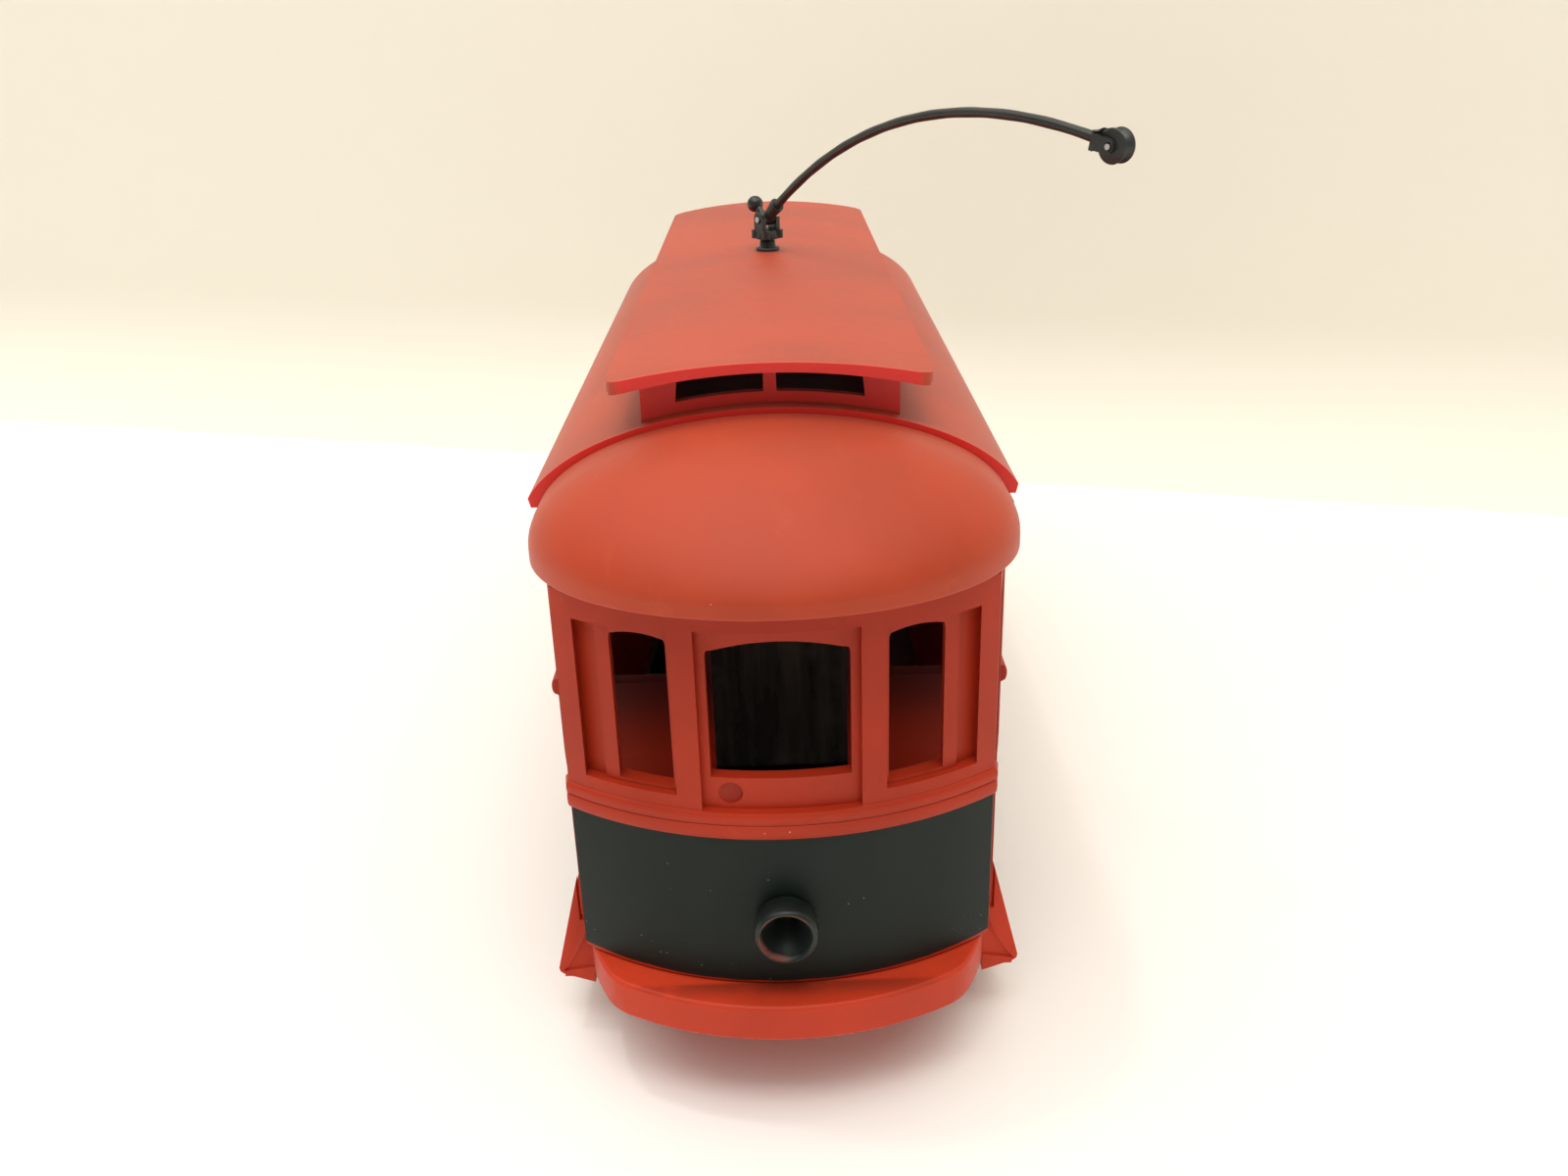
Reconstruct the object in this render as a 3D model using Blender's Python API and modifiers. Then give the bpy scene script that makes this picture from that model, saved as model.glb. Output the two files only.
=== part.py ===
"""Model street railway car, about 1:87: a double-ended car with a deck roof, a geared motor chassis and a
trolley pole. X runs across the car, Y along it (front end at -Y) and Z up. The origin lies under the middle
of the car, level with the lowest point of the wheel flanges."""

import math

import bmesh
import bpy
from mathutils import Matrix, Vector

MM = 0.001
FIT = 0.15 * MM  # gap left where two mouldings or castings meet
RUN = 0.08 * MM  # radial gap around a turning or pushed-in round piece

# Car body, across
SALOON_HALF = 15.0 * MM  # outer face of the saloon sides
SILL_HALF = 13.6 * MM  # outer face at the bottom of the rocker panel
SALOON_WALL = 1.1 * MM
BEAD = 0.4 * MM  # how far rails and mouldings stand out of the sides
# Car body, along
SALOON_END = 34.8 * MM
BULKHEAD = 1.2 * MM
CORNER_Y = 43.1 * MM  # corner posts of the vestibules
CORNER_HALF = 13.3 * MM
VESTIBULE_END = 47.5 * MM  # middle of the bowed end wall
VESTIBULE_WALL = 1.4 * MM
PANEL_DEPTH = 0.5 * MM  # how deep the window panels are sunk between the pilasters
# Car body, up
FLOOR_BOTTOM = 8.3 * MM
FLOOR_THICK = 1.0 * MM
FLOOR_TOP = FLOOR_BOTTOM + FLOOR_THICK
SALOON_BOTTOM = FLOOR_TOP + FIT
ROCKER_TOP = 19.5 * MM
RAIL_LOW, RAIL_HIGH = 23.4 * MM, 24.6 * MM  # belt rail of the saloon
EAVE_Z = 37.0 * MM
SALOON_TOP = EAVE_Z - 2 * FIT
VESTIBULE_TOP = 34.95 * MM
BELT_LOW, BELT_HIGH = 19.85 * MM, 21.7 * MM  # belt moulding of the vestibules
BELT_OUT = 0.22 * MM

# Windows and doorways
SIDE_WINDOWS = 8
SIDE_WINDOW_WIDE = 6.3 * MM
SIDE_WINDOW_PITCH = 8.3 * MM
SIDE_WINDOW_LOW, SIDE_WINDOW_HIGH = 25.0 * MM, 33.6 * MM
SIDE_WINDOW_RISE = 0.5 * MM
MID_WINDOW_HALF = 4.2 * MM
MID_WINDOW_LOW, MID_WINDOW_HIGH, MID_WINDOW_RISE = 23.8 * MM, 32.05 * MM, 0.75 * MM
PILASTER_IN, PILASTER_OUT = 4.8 * MM, 6.3 * MM
END_WINDOW_IN, END_WINDOW_OUT = 6.45 * MM, 9.85 * MM
END_WINDOW_LOW, END_WINDOW_HIGH, END_WINDOW_RISE = 22.85 * MM, 32.6 * MM, 0.3 * MM
PANEL_OUT = 12.05 * MM
PANEL_LOW, PANEL_HIGH = 22.6 * MM, 33.25 * MM
DOOR_FRONT, DOOR_BACK = 42.2 * MM, 35.9 * MM  # entrance, from the corner post back to the saloon
DOOR_HIGH = 33.2 * MM
BULKHEAD_DOOR_HALF = 4.6 * MM
BULKHEAD_LIGHT_IN, BULKHEAD_LIGHT_OUT, BULKHEAD_LIGHT_LOW = 6.2 * MM, 11.8 * MM, 24.2 * MM

# Roofs
ROOF_END = 35.1 * MM
ROOF_HALF = 15.55 * MM
ROOF_A, ROOF_B, ROOF_BASE = 16.2 * MM, 7.55 * MM, 35.5 * MM  # half ellipse of the lower roof
ROOF_WALL = 0.9 * MM
EAVE_IN = 14.6 * MM
DECK_HALF, DECK_END = 10.16 * MM, 36.1 * MM
DECK_CORNER_Z, DECK_RISE = 45.05 * MM, 1.08 * MM
DECK_THICK_MID, DECK_THICK_EDGE = 0.42 * MM, 0.65 * MM
CLERESTORY_HALF, CLERESTORY_END, CLERESTORY_WALL = 8.1 * MM, 34.1 * MM, 0.7 * MM
DECK_LIGHT_HIGH = 1.2 * MM
DECK_LIGHT_WIDE = 6.2 * MM
DECK_MULLION = 0.4 * MM
END_LIGHT_OUT, END_LIGHT_DROP = 5.75 * MM, 2.29 * MM
HOOD_HALF, HOOD_FRONT, HOOD_WIDEST = 15.1 * MM, 49.4 * MM, 38.0 * MM
HOOD_CROWN, HOOD_SPRING, HOOD_RIM = 42.72 * MM, 36.0 * MM, 35.1 * MM
HOOD_FLANGE_SIDE, HOOD_FLANGE_FRONT, HOOD_WALL = 1.7 * MM, 2.9 * MM, 0.8 * MM

# Platforms, steps and headlights
PLATFORM_HALF, PLATFORM_FRONT, PLATFORM_CORNER = 13.3 * MM, 49.8 * MM, 10.6 * MM
PLATFORM_BOW_R = 21.0 * MM
PLATFORM_LOW, PLATFORM_TOP = 6.4 * MM, 9.0 * MM
STEP_LENGTH, STEP_FRONT, STEP_PLATE = 6.0 * MM, 40.4 * MM, 0.7 * MM
STEP_OUT, STEP_LOW, STEP_FIN_TOP, STEP_FIN_IN = 15.9 * MM, 4.0 * MM, 12.2 * MM, 14.1 * MM
TREAD_THICK = 0.8 * MM
LAMP_R, LAMP_BORE_R, LAMP_OUT, LAMP_Z, LAMP_PLUG_R = 1.95 * MM, 1.62 * MM, 1.9 * MM, 13.95 * MM, 1.3 * MM

# Running gear
GAUGE_BACK = 14.4 * MM  # between the wheels' inner faces
WHEEL_WIDE, TREAD_R, FLANGE_R = 2.8 * MM, 4.8 * MM, 5.5 * MM
WHEELBASE = 28.0 * MM
AXLE_R, AXLE_HALF = 1.0 * MM, 10.3 * MM
AXLE_Z = FLANGE_R
WHEEL_ROOM = 0.35 * MM
TEETH = 14
MODULE = 0.4 * MM
TOOTH = 0.36 * MM  # half the height of a tooth, on gear and worm alike
MESH_GAP = 0.25 * MM
GEAR_R = MODULE * TEETH / 2
GEAR_WIDE = 1.6 * MM
WORM_R, WORM_HALF = 1.8 * MM, 2.4 * MM
SHAFT_R, SHAFT_HALF = 0.72 * MM, 16.9 * MM
SHAFT_Z = AXLE_Z + GEAR_R + WORM_R + MESH_GAP
MOTOR_R, MOTOR_WALL = 5.0 * MM, 0.5 * MM
MOTOR_BACK, MOTOR_OPEN, BELL_THICK, BOSS_R, BOSS_OUT = -8.0 * MM, 6.0 * MM, 1.2 * MM, 1.7 * MM, 0.9 * MM
ARMATURE_R, AIR_GAP, MAGNET_THICK = 3.2 * MM, 0.3 * MM, 0.85 * MM
BRUSH_X, BRUSH_STRIP = 3.4 * MM, 0.3 * MM
COMMUTATOR_R = 1.3 * MM
COMMUTATOR_LOW, COMMUTATOR_HIGH = 2.4 * MM, 5.0 * MM

# Chassis
CHASSIS_HALF = 13.2 * MM
CHASSIS_END = 34.3 * MM
TONGUE_HALF, TONGUE_END = 5.0 * MM, 44.0 * MM
WELL_HALF, WELL_END = 5.3 * MM, 18.3 * MM
TUB_WALL, TUB_LOW = 0.8 * MM, 2.3 * MM
CRADLE_NEAR, CRADLE_FAR = 4.6 * MM, 6.6 * MM
KEEPER_THICK = 0.75 * MM
SCREW_R, SCREW_HEAD_R, SCREW_HEAD = 0.5 * MM, 1.0 * MM, 0.5 * MM
PLATFORM_SCREW_Y, KEEPER_SCREW_Y = 40.0 * MM, 5.6 * MM
FRAME_IN, FRAME_THICK, FRAME_END = 10.7 * MM, 1.0 * MM, 19.5 * MM
FLANGE_OUT = 12.6 * MM
PEG_Y = 8.0 * MM
BALLAST_HALF, BALLAST_END, BALLAST_TOP = 6.9 * MM, 22.2 * MM, 33.0 * MM
CHANNEL_HALF, CHANNEL_TOP = 5.5 * MM, 16.2 * MM
PICKUP_THICK = 0.22 * MM
LEAD_R = 0.3 * MM

# Trolley pole
POLE_Y = 4.4 * MM
POLE_TURN = math.radians(38)  # the pole lies swung this far from -Y towards +X
HINGE_Z = 48.8 * MM
POLE_R = 0.37 * MM
POLE_RISE, POLE_CREST, POLE_TIP = (9.2 * MM, 56.67 * MM), (21.1 * MM, 60.55 * MM), (35.3 * MM, 57.28 * MM)
SLEEVE_R, SLEEVE_END = 0.62 * MM, 2.0 * MM
TURRET_R, TURRET_LOW, TURRET_TOP = 1.3 * MM, 47.15 * MM, 47.85 * MM
PIVOT_R = 0.4 * MM
CHEEK_IN, CHEEK_OUT, CHEEK_HALF, CHEEK_TOP = 0.55 * MM, 0.95 * MM, 0.6 * MM, 49.45 * MM
HINGE_PIN_R = 0.25 * MM
TAIL_LENGTH, TAIL_RISE, TAIL_KNOB_R = 1.6 * MM, 1.1 * MM, 0.7 * MM
HARP_REACH, HARP_IN, HARP_OUT = 1.35 * MM, 0.62 * MM, 0.86 * MM
TROLLEY_WHEEL_R, TROLLEY_WHEEL_HALF, HARP_PIN_R = 1.15 * MM, 0.54 * MM, 0.2 * MM


# ---- scene, materials and shape helpers ----

for stale in list(bpy.data.objects):
    bpy.data.objects.remove(stale)
scene_collection = bpy.context.scene.collection
parts = bpy.data.collections.new("model_trolley")
cutters = bpy.data.collections.new("cutters")
scene_collection.children.link(parts)
scene_collection.children.link(cutters)


def finish(name, colour, roughness, metallic=0.0):
    """A plain Principled material."""
    made = bpy.data.materials.new(name)
    made.use_nodes = True
    shader = made.node_tree.nodes["Principled BSDF"]
    shader.inputs["Base Color"].default_value = (*colour, 1.0)
    shader.inputs["Roughness"].default_value = roughness
    shader.inputs["Metallic"].default_value = metallic
    return made


RED = finish("red_plastic", (0.62, 0.06, 0.03), 0.4)
BLACK = finish("black_plastic", (0.02, 0.022, 0.02), 0.38)
CAST = finish("black_cast_weight", (0.015, 0.016, 0.015), 0.3)
STEEL = finish("bright_steel", (0.6, 0.6, 0.6), 0.3, 1.0)
BRASS = finish("brass", (0.75, 0.55, 0.2), 0.3, 1.0)
COPPER = finish("copper", (0.7, 0.35, 0.2), 0.35, 1.0)
NYLON = finish("pale_nylon", (0.75, 0.73, 0.65), 0.5)
FERRITE = finish("dark_ferrite", (0.08, 0.08, 0.085), 0.7)
WIRE_RED = finish("red_wire", (0.5, 0.03, 0.02), 0.5)
WIRE_BLACK = finish("black_wire", (0.02, 0.02, 0.02), 0.5)


def face_outwards(bm):
    bmesh.ops.recalc_face_normals(bm, faces=bm.faces)
    if bm.calc_volume(signed=True) < 0:
        bmesh.ops.reverse_faces(bm, faces=bm.faces)


def from_bmesh(name, bm, material, collection=parts):
    """An object from a bmesh whose points are in world metres."""
    face_outwards(bm)
    mesh = bpy.data.meshes.new(name)
    bm.to_mesh(mesh)
    bm.free()
    made = bpy.data.objects.new(name, mesh)
    collection.objects.link(made)
    dress(made, material)
    return made


def dress(made, material):
    if material is not None:
        made.data.materials.clear()
        made.data.materials.append(material)
    made.data.shade_smooth()
    made.data.set_sharp_from_angle(angle=math.radians(35))


def as_cutter(made):
    """Keeps a helper out of the finished part."""
    for holder in list(made.users_collection):
        holder.objects.unlink(made)
    cutters.objects.link(made)
    made.hide_render = True
    made.display_type = "WIRE"
    return made


def boolean(target, tool, operation):
    as_cutter(tool)
    modifier = target.modifiers.new(f"{operation.lower()}_{tool.name}", "BOOLEAN")
    modifier.operation = operation
    modifier.object = tool
    return target


def cut(target, tool):
    return boolean(target, tool, "DIFFERENCE")


def join(target, tool):
    return boolean(target, tool, "UNION")


def block(bm, low, high):
    """Adds a box between two corners."""
    low, high = Vector(low), Vector(high)
    place = Matrix.Translation((low + high) / 2) @ Matrix.Diagonal((*(high - low), 1))
    bmesh.ops.create_cube(bm, size=1, matrix=place)


def rod(bm, radius, start, end, segments=16, end_radius=None):
    """Adds a round bar, or a cone, from one point to another."""
    start, end = Vector(start), Vector(end)
    along = end - start
    place = Matrix.Translation((start + end) / 2) @ along.to_track_quat("Z", "Y").to_matrix().to_4x4()
    far = radius if end_radius is None else end_radius
    bmesh.ops.create_cone(bm, cap_ends=True, segments=segments, radius1=radius, radius2=far,
                          depth=along.length, matrix=place)


def blocks(name, boxes, material=None):
    """One object holding several separate boxes."""
    bm = bmesh.new()
    for low, high in boxes:
        block(bm, low, high)
    return from_bmesh(name, bm, material)


def rods(name, bars, material=None, segments=16):
    bm = bmesh.new()
    for radius, start, end in bars:
        rod(bm, radius, start, end, segments)
    return from_bmesh(name, bm, material)


AXES = {
    "X": Matrix(((0, 0, 1), (1, 0, 0), (0, 1, 0))),  # outline in YZ, thickness along X
    "Y": Matrix(((1, 0, 0), (0, 0, -1), (0, 1, 0))),  # outline in XZ, thickness along Y
    "Z": Matrix.Identity(3),  # outline in XY, thickness along Z
}


def prism(name, outlines, axis, low, high, material=None):
    """Flat outlines, filled and drawn out along an axis from low to high, as one mesh."""
    curve = bpy.data.curves.new(name, "CURVE")
    curve.dimensions = "2D"
    curve.fill_mode = "BOTH"
    curve.extrude = (high - low) / 2
    for outline in outlines:
        spline = curve.splines.new("POLY")
        spline.points.add(len(outline) - 1)
        for point, (u, v) in zip(spline.points, outline):
            point.co = (u, v, 0, 1)
        spline.use_cyclic_u = True
    drawn = bpy.data.objects.new(name + "_outline", curve)
    parts.objects.link(drawn)
    side = {"X": Vector((1, 0, 0)), "Y": Vector((0, 1, 0)), "Z": Vector((0, 0, 1))}[axis]
    drawn.matrix_world = Matrix.Translation(side * (low + high) / 2) @ AXES[axis].to_4x4()
    return as_mesh(name, drawn, material)


def as_mesh(name, drawn, material):
    """The evaluated object as a plain welded mesh in world space; the source is removed."""
    bpy.context.view_layer.update()
    place = drawn.matrix_world.copy()
    graph = bpy.context.evaluated_depsgraph_get()
    mesh = bpy.data.meshes.new_from_object(drawn.evaluated_get(graph))
    bpy.data.objects.remove(drawn)
    mesh.name = name
    bm = bmesh.new()
    bm.from_mesh(mesh)
    bmesh.ops.remove_doubles(bm, verts=bm.verts, dist=1e-6)
    bm.transform(place)
    face_outwards(bm)
    bm.to_mesh(mesh)
    bm.free()
    made = bpy.data.objects.new(name, mesh)
    parts.objects.link(made)
    dress(made, material)
    return made


def settle(made, material):
    """Applies an object's modifiers, so that copies can share the result."""
    name = made.name
    made.name = name + "_source"
    return as_mesh(name, made, material)


def turned(name, profile, axis, centre, material, steps=28):
    """A profile of (radius, height) pairs, listed down its outer side, turned about an axis."""
    mesh = bpy.data.meshes.new(name)
    closed = profile[0][0] > 0
    count = len(profile)
    edges = [(i, (i + 1) % count) for i in range(count if closed else count - 1)]
    mesh.from_pydata([(r, 0, h) for r, h in profile], edges, [])
    made = bpy.data.objects.new(name, mesh)
    parts.objects.link(made)
    turn = {"X": (0, math.pi / 2, 0), "Y": (-math.pi / 2, 0, 0), "Z": (0, 0, 0)}[axis]
    made.rotation_euler = turn
    made.location = centre
    screw = made.modifiers.new("turn", "SCREW")
    screw.steps = screw.render_steps = steps
    screw.use_merge_vertices = True
    screw.merge_threshold = 0.00001
    screw.use_smooth_shade = True
    made.data.materials.append(material)
    return made


def shared(name, source, turn=0.0, offset=(0, 0, 0)):
    """Another object on the same mesh, turned about Z and moved."""
    made = bpy.data.objects.new(name, source.data)
    parts.objects.link(made)
    made.rotation_euler.z = turn
    made.location = offset
    return made


def mirrored(name, source):
    """A left-hand copy of a settled object."""
    bm = bmesh.new()
    bm.from_mesh(source.data)
    bm.transform(Matrix.Scale(-1, 4, (1, 0, 0)))
    bmesh.ops.reverse_faces(bm, faces=bm.faces)
    return from_bmesh(name, bm, source.data.materials[0])


def arc(centre, radius, start, end, steps):
    """Points on an arc, angles in degrees."""
    angles = [math.radians(start + (end - start) * i / steps) for i in range(steps + 1)]
    return [(centre[0] + radius * math.cos(a), centre[1] + radius * math.sin(a)) for a in angles]


def arched(left, right, low, high, rise, steps=6):
    """Outline of an opening with a low segmental head."""
    half = (right - left) / 2
    head = [(left + 2 * half * i / steps, high + rise * (1 - (2 * i / steps - 1) ** 2))
            for i in range(steps + 1)]
    return [(left, low), *head, (right, low)]


def ellipse_z(x, half, rise, base):
    return base + rise * math.sqrt(max(0.0, 1 - (x / half) ** 2))


# ---- saloon body ----

def side_profile(out):
    """Half of the saloon's cross-section, from the sill up; out is taken off every width."""
    rocker = []
    for i in range(6):
        lift = i / 5
        x = SILL_HALF + (SALOON_HALF - SILL_HALF) * math.sin(lift * math.pi / 2)
        rocker.append((x - out, SALOON_BOTTOM + (ROCKER_TOP - SALOON_BOTTOM) * lift))
    return rocker


def bead(low, high):
    """A rounded moulding on the side, as points of the cross-section."""
    x = SALOON_HALF
    slope = (high - low) * 0.2
    return [(x, low), (x + BEAD, low + slope), (x + BEAD, high - slope), (x, high)]


def make_saloon():
    cornice = bead(EAVE_Z - 1.15 * MM, EAVE_Z - 0.5 * MM)
    letterboard = bead(EAVE_Z - 2.45 * MM, EAVE_Z - 1.8 * MM)
    half = side_profile(0) + bead(RAIL_LOW, RAIL_HIGH) + letterboard + cornice + [(SALOON_HALF, SALOON_TOP)]
    outline = half + [(-x, z) for x, z in reversed(half)]
    saloon = prism("saloon_body", [outline], "Y", -SALOON_END, SALOON_END, RED)
    inner = side_profile(SALOON_WALL)
    inner[0] = (inner[0][0], SALOON_BOTTOM - MM)
    inner.append((SALOON_HALF - SALOON_WALL, SALOON_TOP + MM))
    hollow = prism("saloon_hollow", [inner + [(-x, z) for x, z in reversed(inner)]], "Y",
                   -(SALOON_END - BULKHEAD), SALOON_END - BULKHEAD)
    cut(saloon, hollow)
    windows = []
    for i in range(SIDE_WINDOWS):
        y = (i - (SIDE_WINDOWS - 1) / 2) * SIDE_WINDOW_PITCH
        windows.append(arched(y - SIDE_WINDOW_WIDE / 2, y + SIDE_WINDOW_WIDE / 2,
                              SIDE_WINDOW_LOW, SIDE_WINDOW_HIGH, SIDE_WINDOW_RISE, 4))
    reach = SALOON_HALF + 2 * MM
    cut(saloon, prism("side_window_holes", windows, "X", -reach, reach))
    through = SALOON_END + MM
    lights = [((BULKHEAD_LIGHT_IN * s if s > 0 else -BULKHEAD_LIGHT_OUT, -through, BULKHEAD_LIGHT_LOW),
               (BULKHEAD_LIGHT_OUT if s > 0 else -BULKHEAD_LIGHT_IN, through, DOOR_HIGH)) for s in (-1, 1)]
    doorway = ((-BULKHEAD_DOOR_HALF, -through, SALOON_BOTTOM - MM),
               (BULKHEAD_DOOR_HALF, through, DOOR_HIGH))
    cut(saloon, blocks("bulkhead_holes", [*lights, doorway]))
    return saloon


# ---- vestibules ----

def bow(half, corner_y, end_y, steps):
    """The bowed end wall in plan, from the left corner to the right one, with its end at -Y."""
    sag = end_y - corner_y
    radius = (half ** 2 + sag ** 2) / (2 * sag)
    swing = math.degrees(math.asin(half / radius))
    return arc((0, -end_y + radius), radius, 270 - swing, 270 + swing, steps)


def vestibule_plan(inset):
    """Outer plan of the vestibule, drawn in by inset, from its left back edge round to the right one."""
    back = (SALOON_HALF - 0.1 * MM - inset, -SALOON_END - FIT)
    front = bow(CORNER_HALF - inset, CORNER_Y - inset * 0.6, VESTIBULE_END - inset, 14)
    return [(-back[0], back[1]), *front, back]


def panel_cutter(name, x_low, x_high, low, high):
    """Cuts a shallow panel into the bowed wall between two places across it."""
    sag = VESTIBULE_END - CORNER_Y
    radius = (CORNER_HALF ** 2 + sag ** 2) / (2 * sag)
    places = [x_low + (x_high - x_low) * i / 6 for i in range(7)]
    outer = [(x, -VESTIBULE_END + radius - math.sqrt(radius ** 2 - x ** 2)) for x in places]
    deep = [(x, y + PANEL_DEPTH) for x, y in outer]
    proud = [(x, y - 2 * MM) for x, y in outer]
    return prism(name, [deep + proud[::-1]], "Z", low, high)


def make_vestibule():
    ring = vestibule_plan(0) + vestibule_plan(VESTIBULE_WALL)[::-1]
    low = PLATFORM_TOP + FIT
    wall = prism("front_vestibule", [ring], "Z", low, VESTIBULE_TOP, RED)
    belt = prism("belt", [vestibule_plan(-BELT_OUT)[1:-1] + vestibule_plan(0.5 * MM)[1:-1][::-1]], "Z",
                 BELT_LOW, BELT_HIGH)
    join(wall, belt)
    cut(wall, panel_cutter("mid_panel", -PILASTER_IN, PILASTER_IN, BELT_HIGH, PANEL_HIGH + 0.3 * MM))
    cut(wall, panel_cutter("left_panel", -PANEL_OUT, -PILASTER_OUT, PANEL_LOW, PANEL_HIGH))
    cut(wall, panel_cutter("right_panel", PILASTER_OUT, PANEL_OUT, PANEL_LOW, PANEL_HIGH))
    openings = [
        arched(-MID_WINDOW_HALF, MID_WINDOW_HALF, MID_WINDOW_LOW, MID_WINDOW_HIGH, MID_WINDOW_RISE),
        arched(-END_WINDOW_OUT, -END_WINDOW_IN, END_WINDOW_LOW, END_WINDOW_HIGH, END_WINDOW_RISE, 4),
        arched(END_WINDOW_IN, END_WINDOW_OUT, END_WINDOW_LOW, END_WINDOW_HIGH, END_WINDOW_RISE, 4),
        arc((0, LAMP_Z), LAMP_PLUG_R + RUN, 0, 337.5, 15),
    ]
    cut(wall, prism("end_openings", openings, "Y", -VESTIBULE_END - 2 * MM, -DOOR_FRONT))
    reach = SALOON_HALF + MM
    cut(wall, blocks("entrances", [((-reach, -DOOR_FRONT, FLOOR_TOP + FIT),
                                    (reach, -DOOR_BACK, DOOR_HIGH))]))
    front = settle(wall, RED)
    shared("rear_vestibule", front, math.pi)
    return front


# ---- roofs ----

def deck_z(x, drop=0.0):
    """Height of the deck roof's curve at x, lowered by drop."""
    radius = (DECK_HALF ** 2 + DECK_RISE ** 2) / (2 * DECK_RISE)
    return DECK_CORNER_Z + DECK_RISE - radius + math.sqrt(radius ** 2 - x ** 2) - drop


def deck_under(x, drop=0.0):
    """Height of the deck roof's underside, which thickens towards its edges."""
    return deck_z(x, drop + DECK_THICK_MID + (DECK_THICK_EDGE - DECK_THICK_MID) * (x / DECK_HALF) ** 2)


def spread(half, steps):
    return [half * (2 * i / steps - 1) for i in range(steps + 1)]


def make_main_roof():
    lean = math.acos(ROOF_HALF / ROOF_A)
    angles = [lean + (math.pi - 2 * lean) * i / 28 for i in range(29)]
    top = [(-ROOF_A * math.cos(a), ROOF_BASE + ROOF_B * math.sin(a)) for a in angles]
    inner_a, inner_b = ROOF_A - 1.2 * MM, ROOF_B - ROOF_WALL
    lean = math.acos(EAVE_IN / inner_a)
    angles = [lean + (math.pi - 2 * lean) * i / 24 for i in range(25)]
    under = [(inner_a * math.cos(a), ROOF_BASE + inner_b * math.sin(a)) for a in angles]
    lip = ROOF_HALF - 0.15 * MM
    outline = [*top, (lip, EAVE_Z), (EAVE_IN, EAVE_Z), *under, (-EAVE_IN, EAVE_Z), (-lip, EAVE_Z)]
    roof = prism("main_roof", [outline], "Y", -ROOF_END, ROOF_END, RED)
    seat = ROOF_BASE + ROOF_B - 2.4 * MM
    crown = [(x, deck_under(x, FIT)) for x in spread(CLERESTORY_HALF, 10)]
    walls = prism("clerestory", [[(-CLERESTORY_HALF, seat), *crown, (CLERESTORY_HALF, seat)]], "Y",
                  -CLERESTORY_END, CLERESTORY_END)
    join(roof, walls)
    inside = CLERESTORY_HALF - CLERESTORY_WALL
    reach = CLERESTORY_END - CLERESTORY_WALL
    cut(roof, blocks("clerestory_well", [((-inside, -reach, 30 * MM), (inside, reach, 50 * MM))]))
    lights = []
    light_top = deck_under(CLERESTORY_HALF, FIT) - 0.4 * MM
    for i in range(SIDE_WINDOWS):
        y = (i - (SIDE_WINDOWS - 1) / 2) * SIDE_WINDOW_PITCH
        lights.append([(y - DECK_LIGHT_WIDE / 2, light_top - DECK_LIGHT_HIGH),
                       (y + DECK_LIGHT_WIDE / 2, light_top - DECK_LIGHT_HIGH),
                       (y + DECK_LIGHT_WIDE / 2, light_top), (y - DECK_LIGHT_WIDE / 2, light_top)])
    cut(roof, prism("deck_lights", lights, "X", -CLERESTORY_HALF - MM, CLERESTORY_HALF + MM))
    end_lights = []
    for side in (-1, 1):
        xs = [side * (DECK_MULLION + (END_LIGHT_OUT - DECK_MULLION) * i / 4) for i in range(5)]
        upper = [(x, deck_under(x, FIT + 0.12 * MM)) for x in xs]
        lower = [(x * 1.03, deck_z(x, END_LIGHT_DROP + 0.18 * MM * (x / END_LIGHT_OUT) ** 2)) for x in xs]
        end_lights.append(upper + lower[::-1])
    cut(roof, prism("end_lights", end_lights, "Y", -CLERESTORY_END - MM, CLERESTORY_END + MM))
    return roof


def make_deck_roof():
    top = [(x, deck_z(x)) for x in spread(DECK_HALF - 0.25 * MM, 14)]
    under = [(x, deck_under(x)) for x in spread(DECK_HALF - 0.25 * MM, 14)]
    edge = (DECK_HALF, deck_z(DECK_HALF, DECK_THICK_EDGE / 2))
    outline = [(-edge[0], edge[1]), *top, edge, *under[::-1]]
    roof = prism("deck_roof", [outline], "Y", -DECK_END, DECK_END, RED)
    hole = rods("pole_hole", [(0.6 * MM + RUN, (0, POLE_Y, 40 * MM), (0, POLE_Y, 50 * MM))])
    return cut(roof, hole)


def dome(name, half, front, crown, spring, rim, back, steps_across=18, steps_along=7):
    """Closed half dome over an oval plan: flat base at rim, upright sides to spring, open end cut flat."""
    bm = bmesh.new()
    rows = []
    for j in range(steps_along + 1):
        t = math.sin(j / steps_along * math.pi / 2) if j < steps_along else 0.9995
        y = -(HOOD_WIDEST + (front - HOOD_WIDEST) * t)
        shrink = math.sqrt(1 - t * t)
        if j == 0:
            rows.append((back, half, crown - spring))
        rows.append((y, half * shrink, (crown - spring) * shrink))
    grid = []
    for y, w, h in rows:
        line = [bm.verts.new((-w, y, rim))]
        for i in range(steps_across + 1):
            a = math.pi * (1 - i / steps_across)
            line.append(bm.verts.new((w * math.cos(a), y, spring + h * math.sin(a))))
        line.append(bm.verts.new((w, y, rim)))
        grid.append(line)
    for near, far in zip(grid, grid[1:]):
        count = len(near)
        for i in range(count):
            k = (i + 1) % count
            bm.faces.new((near[i], near[k], far[k], far[i]))
    bm.faces.new(grid[0])
    bm.faces.new(grid[-1][::-1])
    bmesh.ops.remove_doubles(bm, verts=bm.verts, dist=1e-6)
    return from_bmesh(name, bm, RED)


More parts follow.
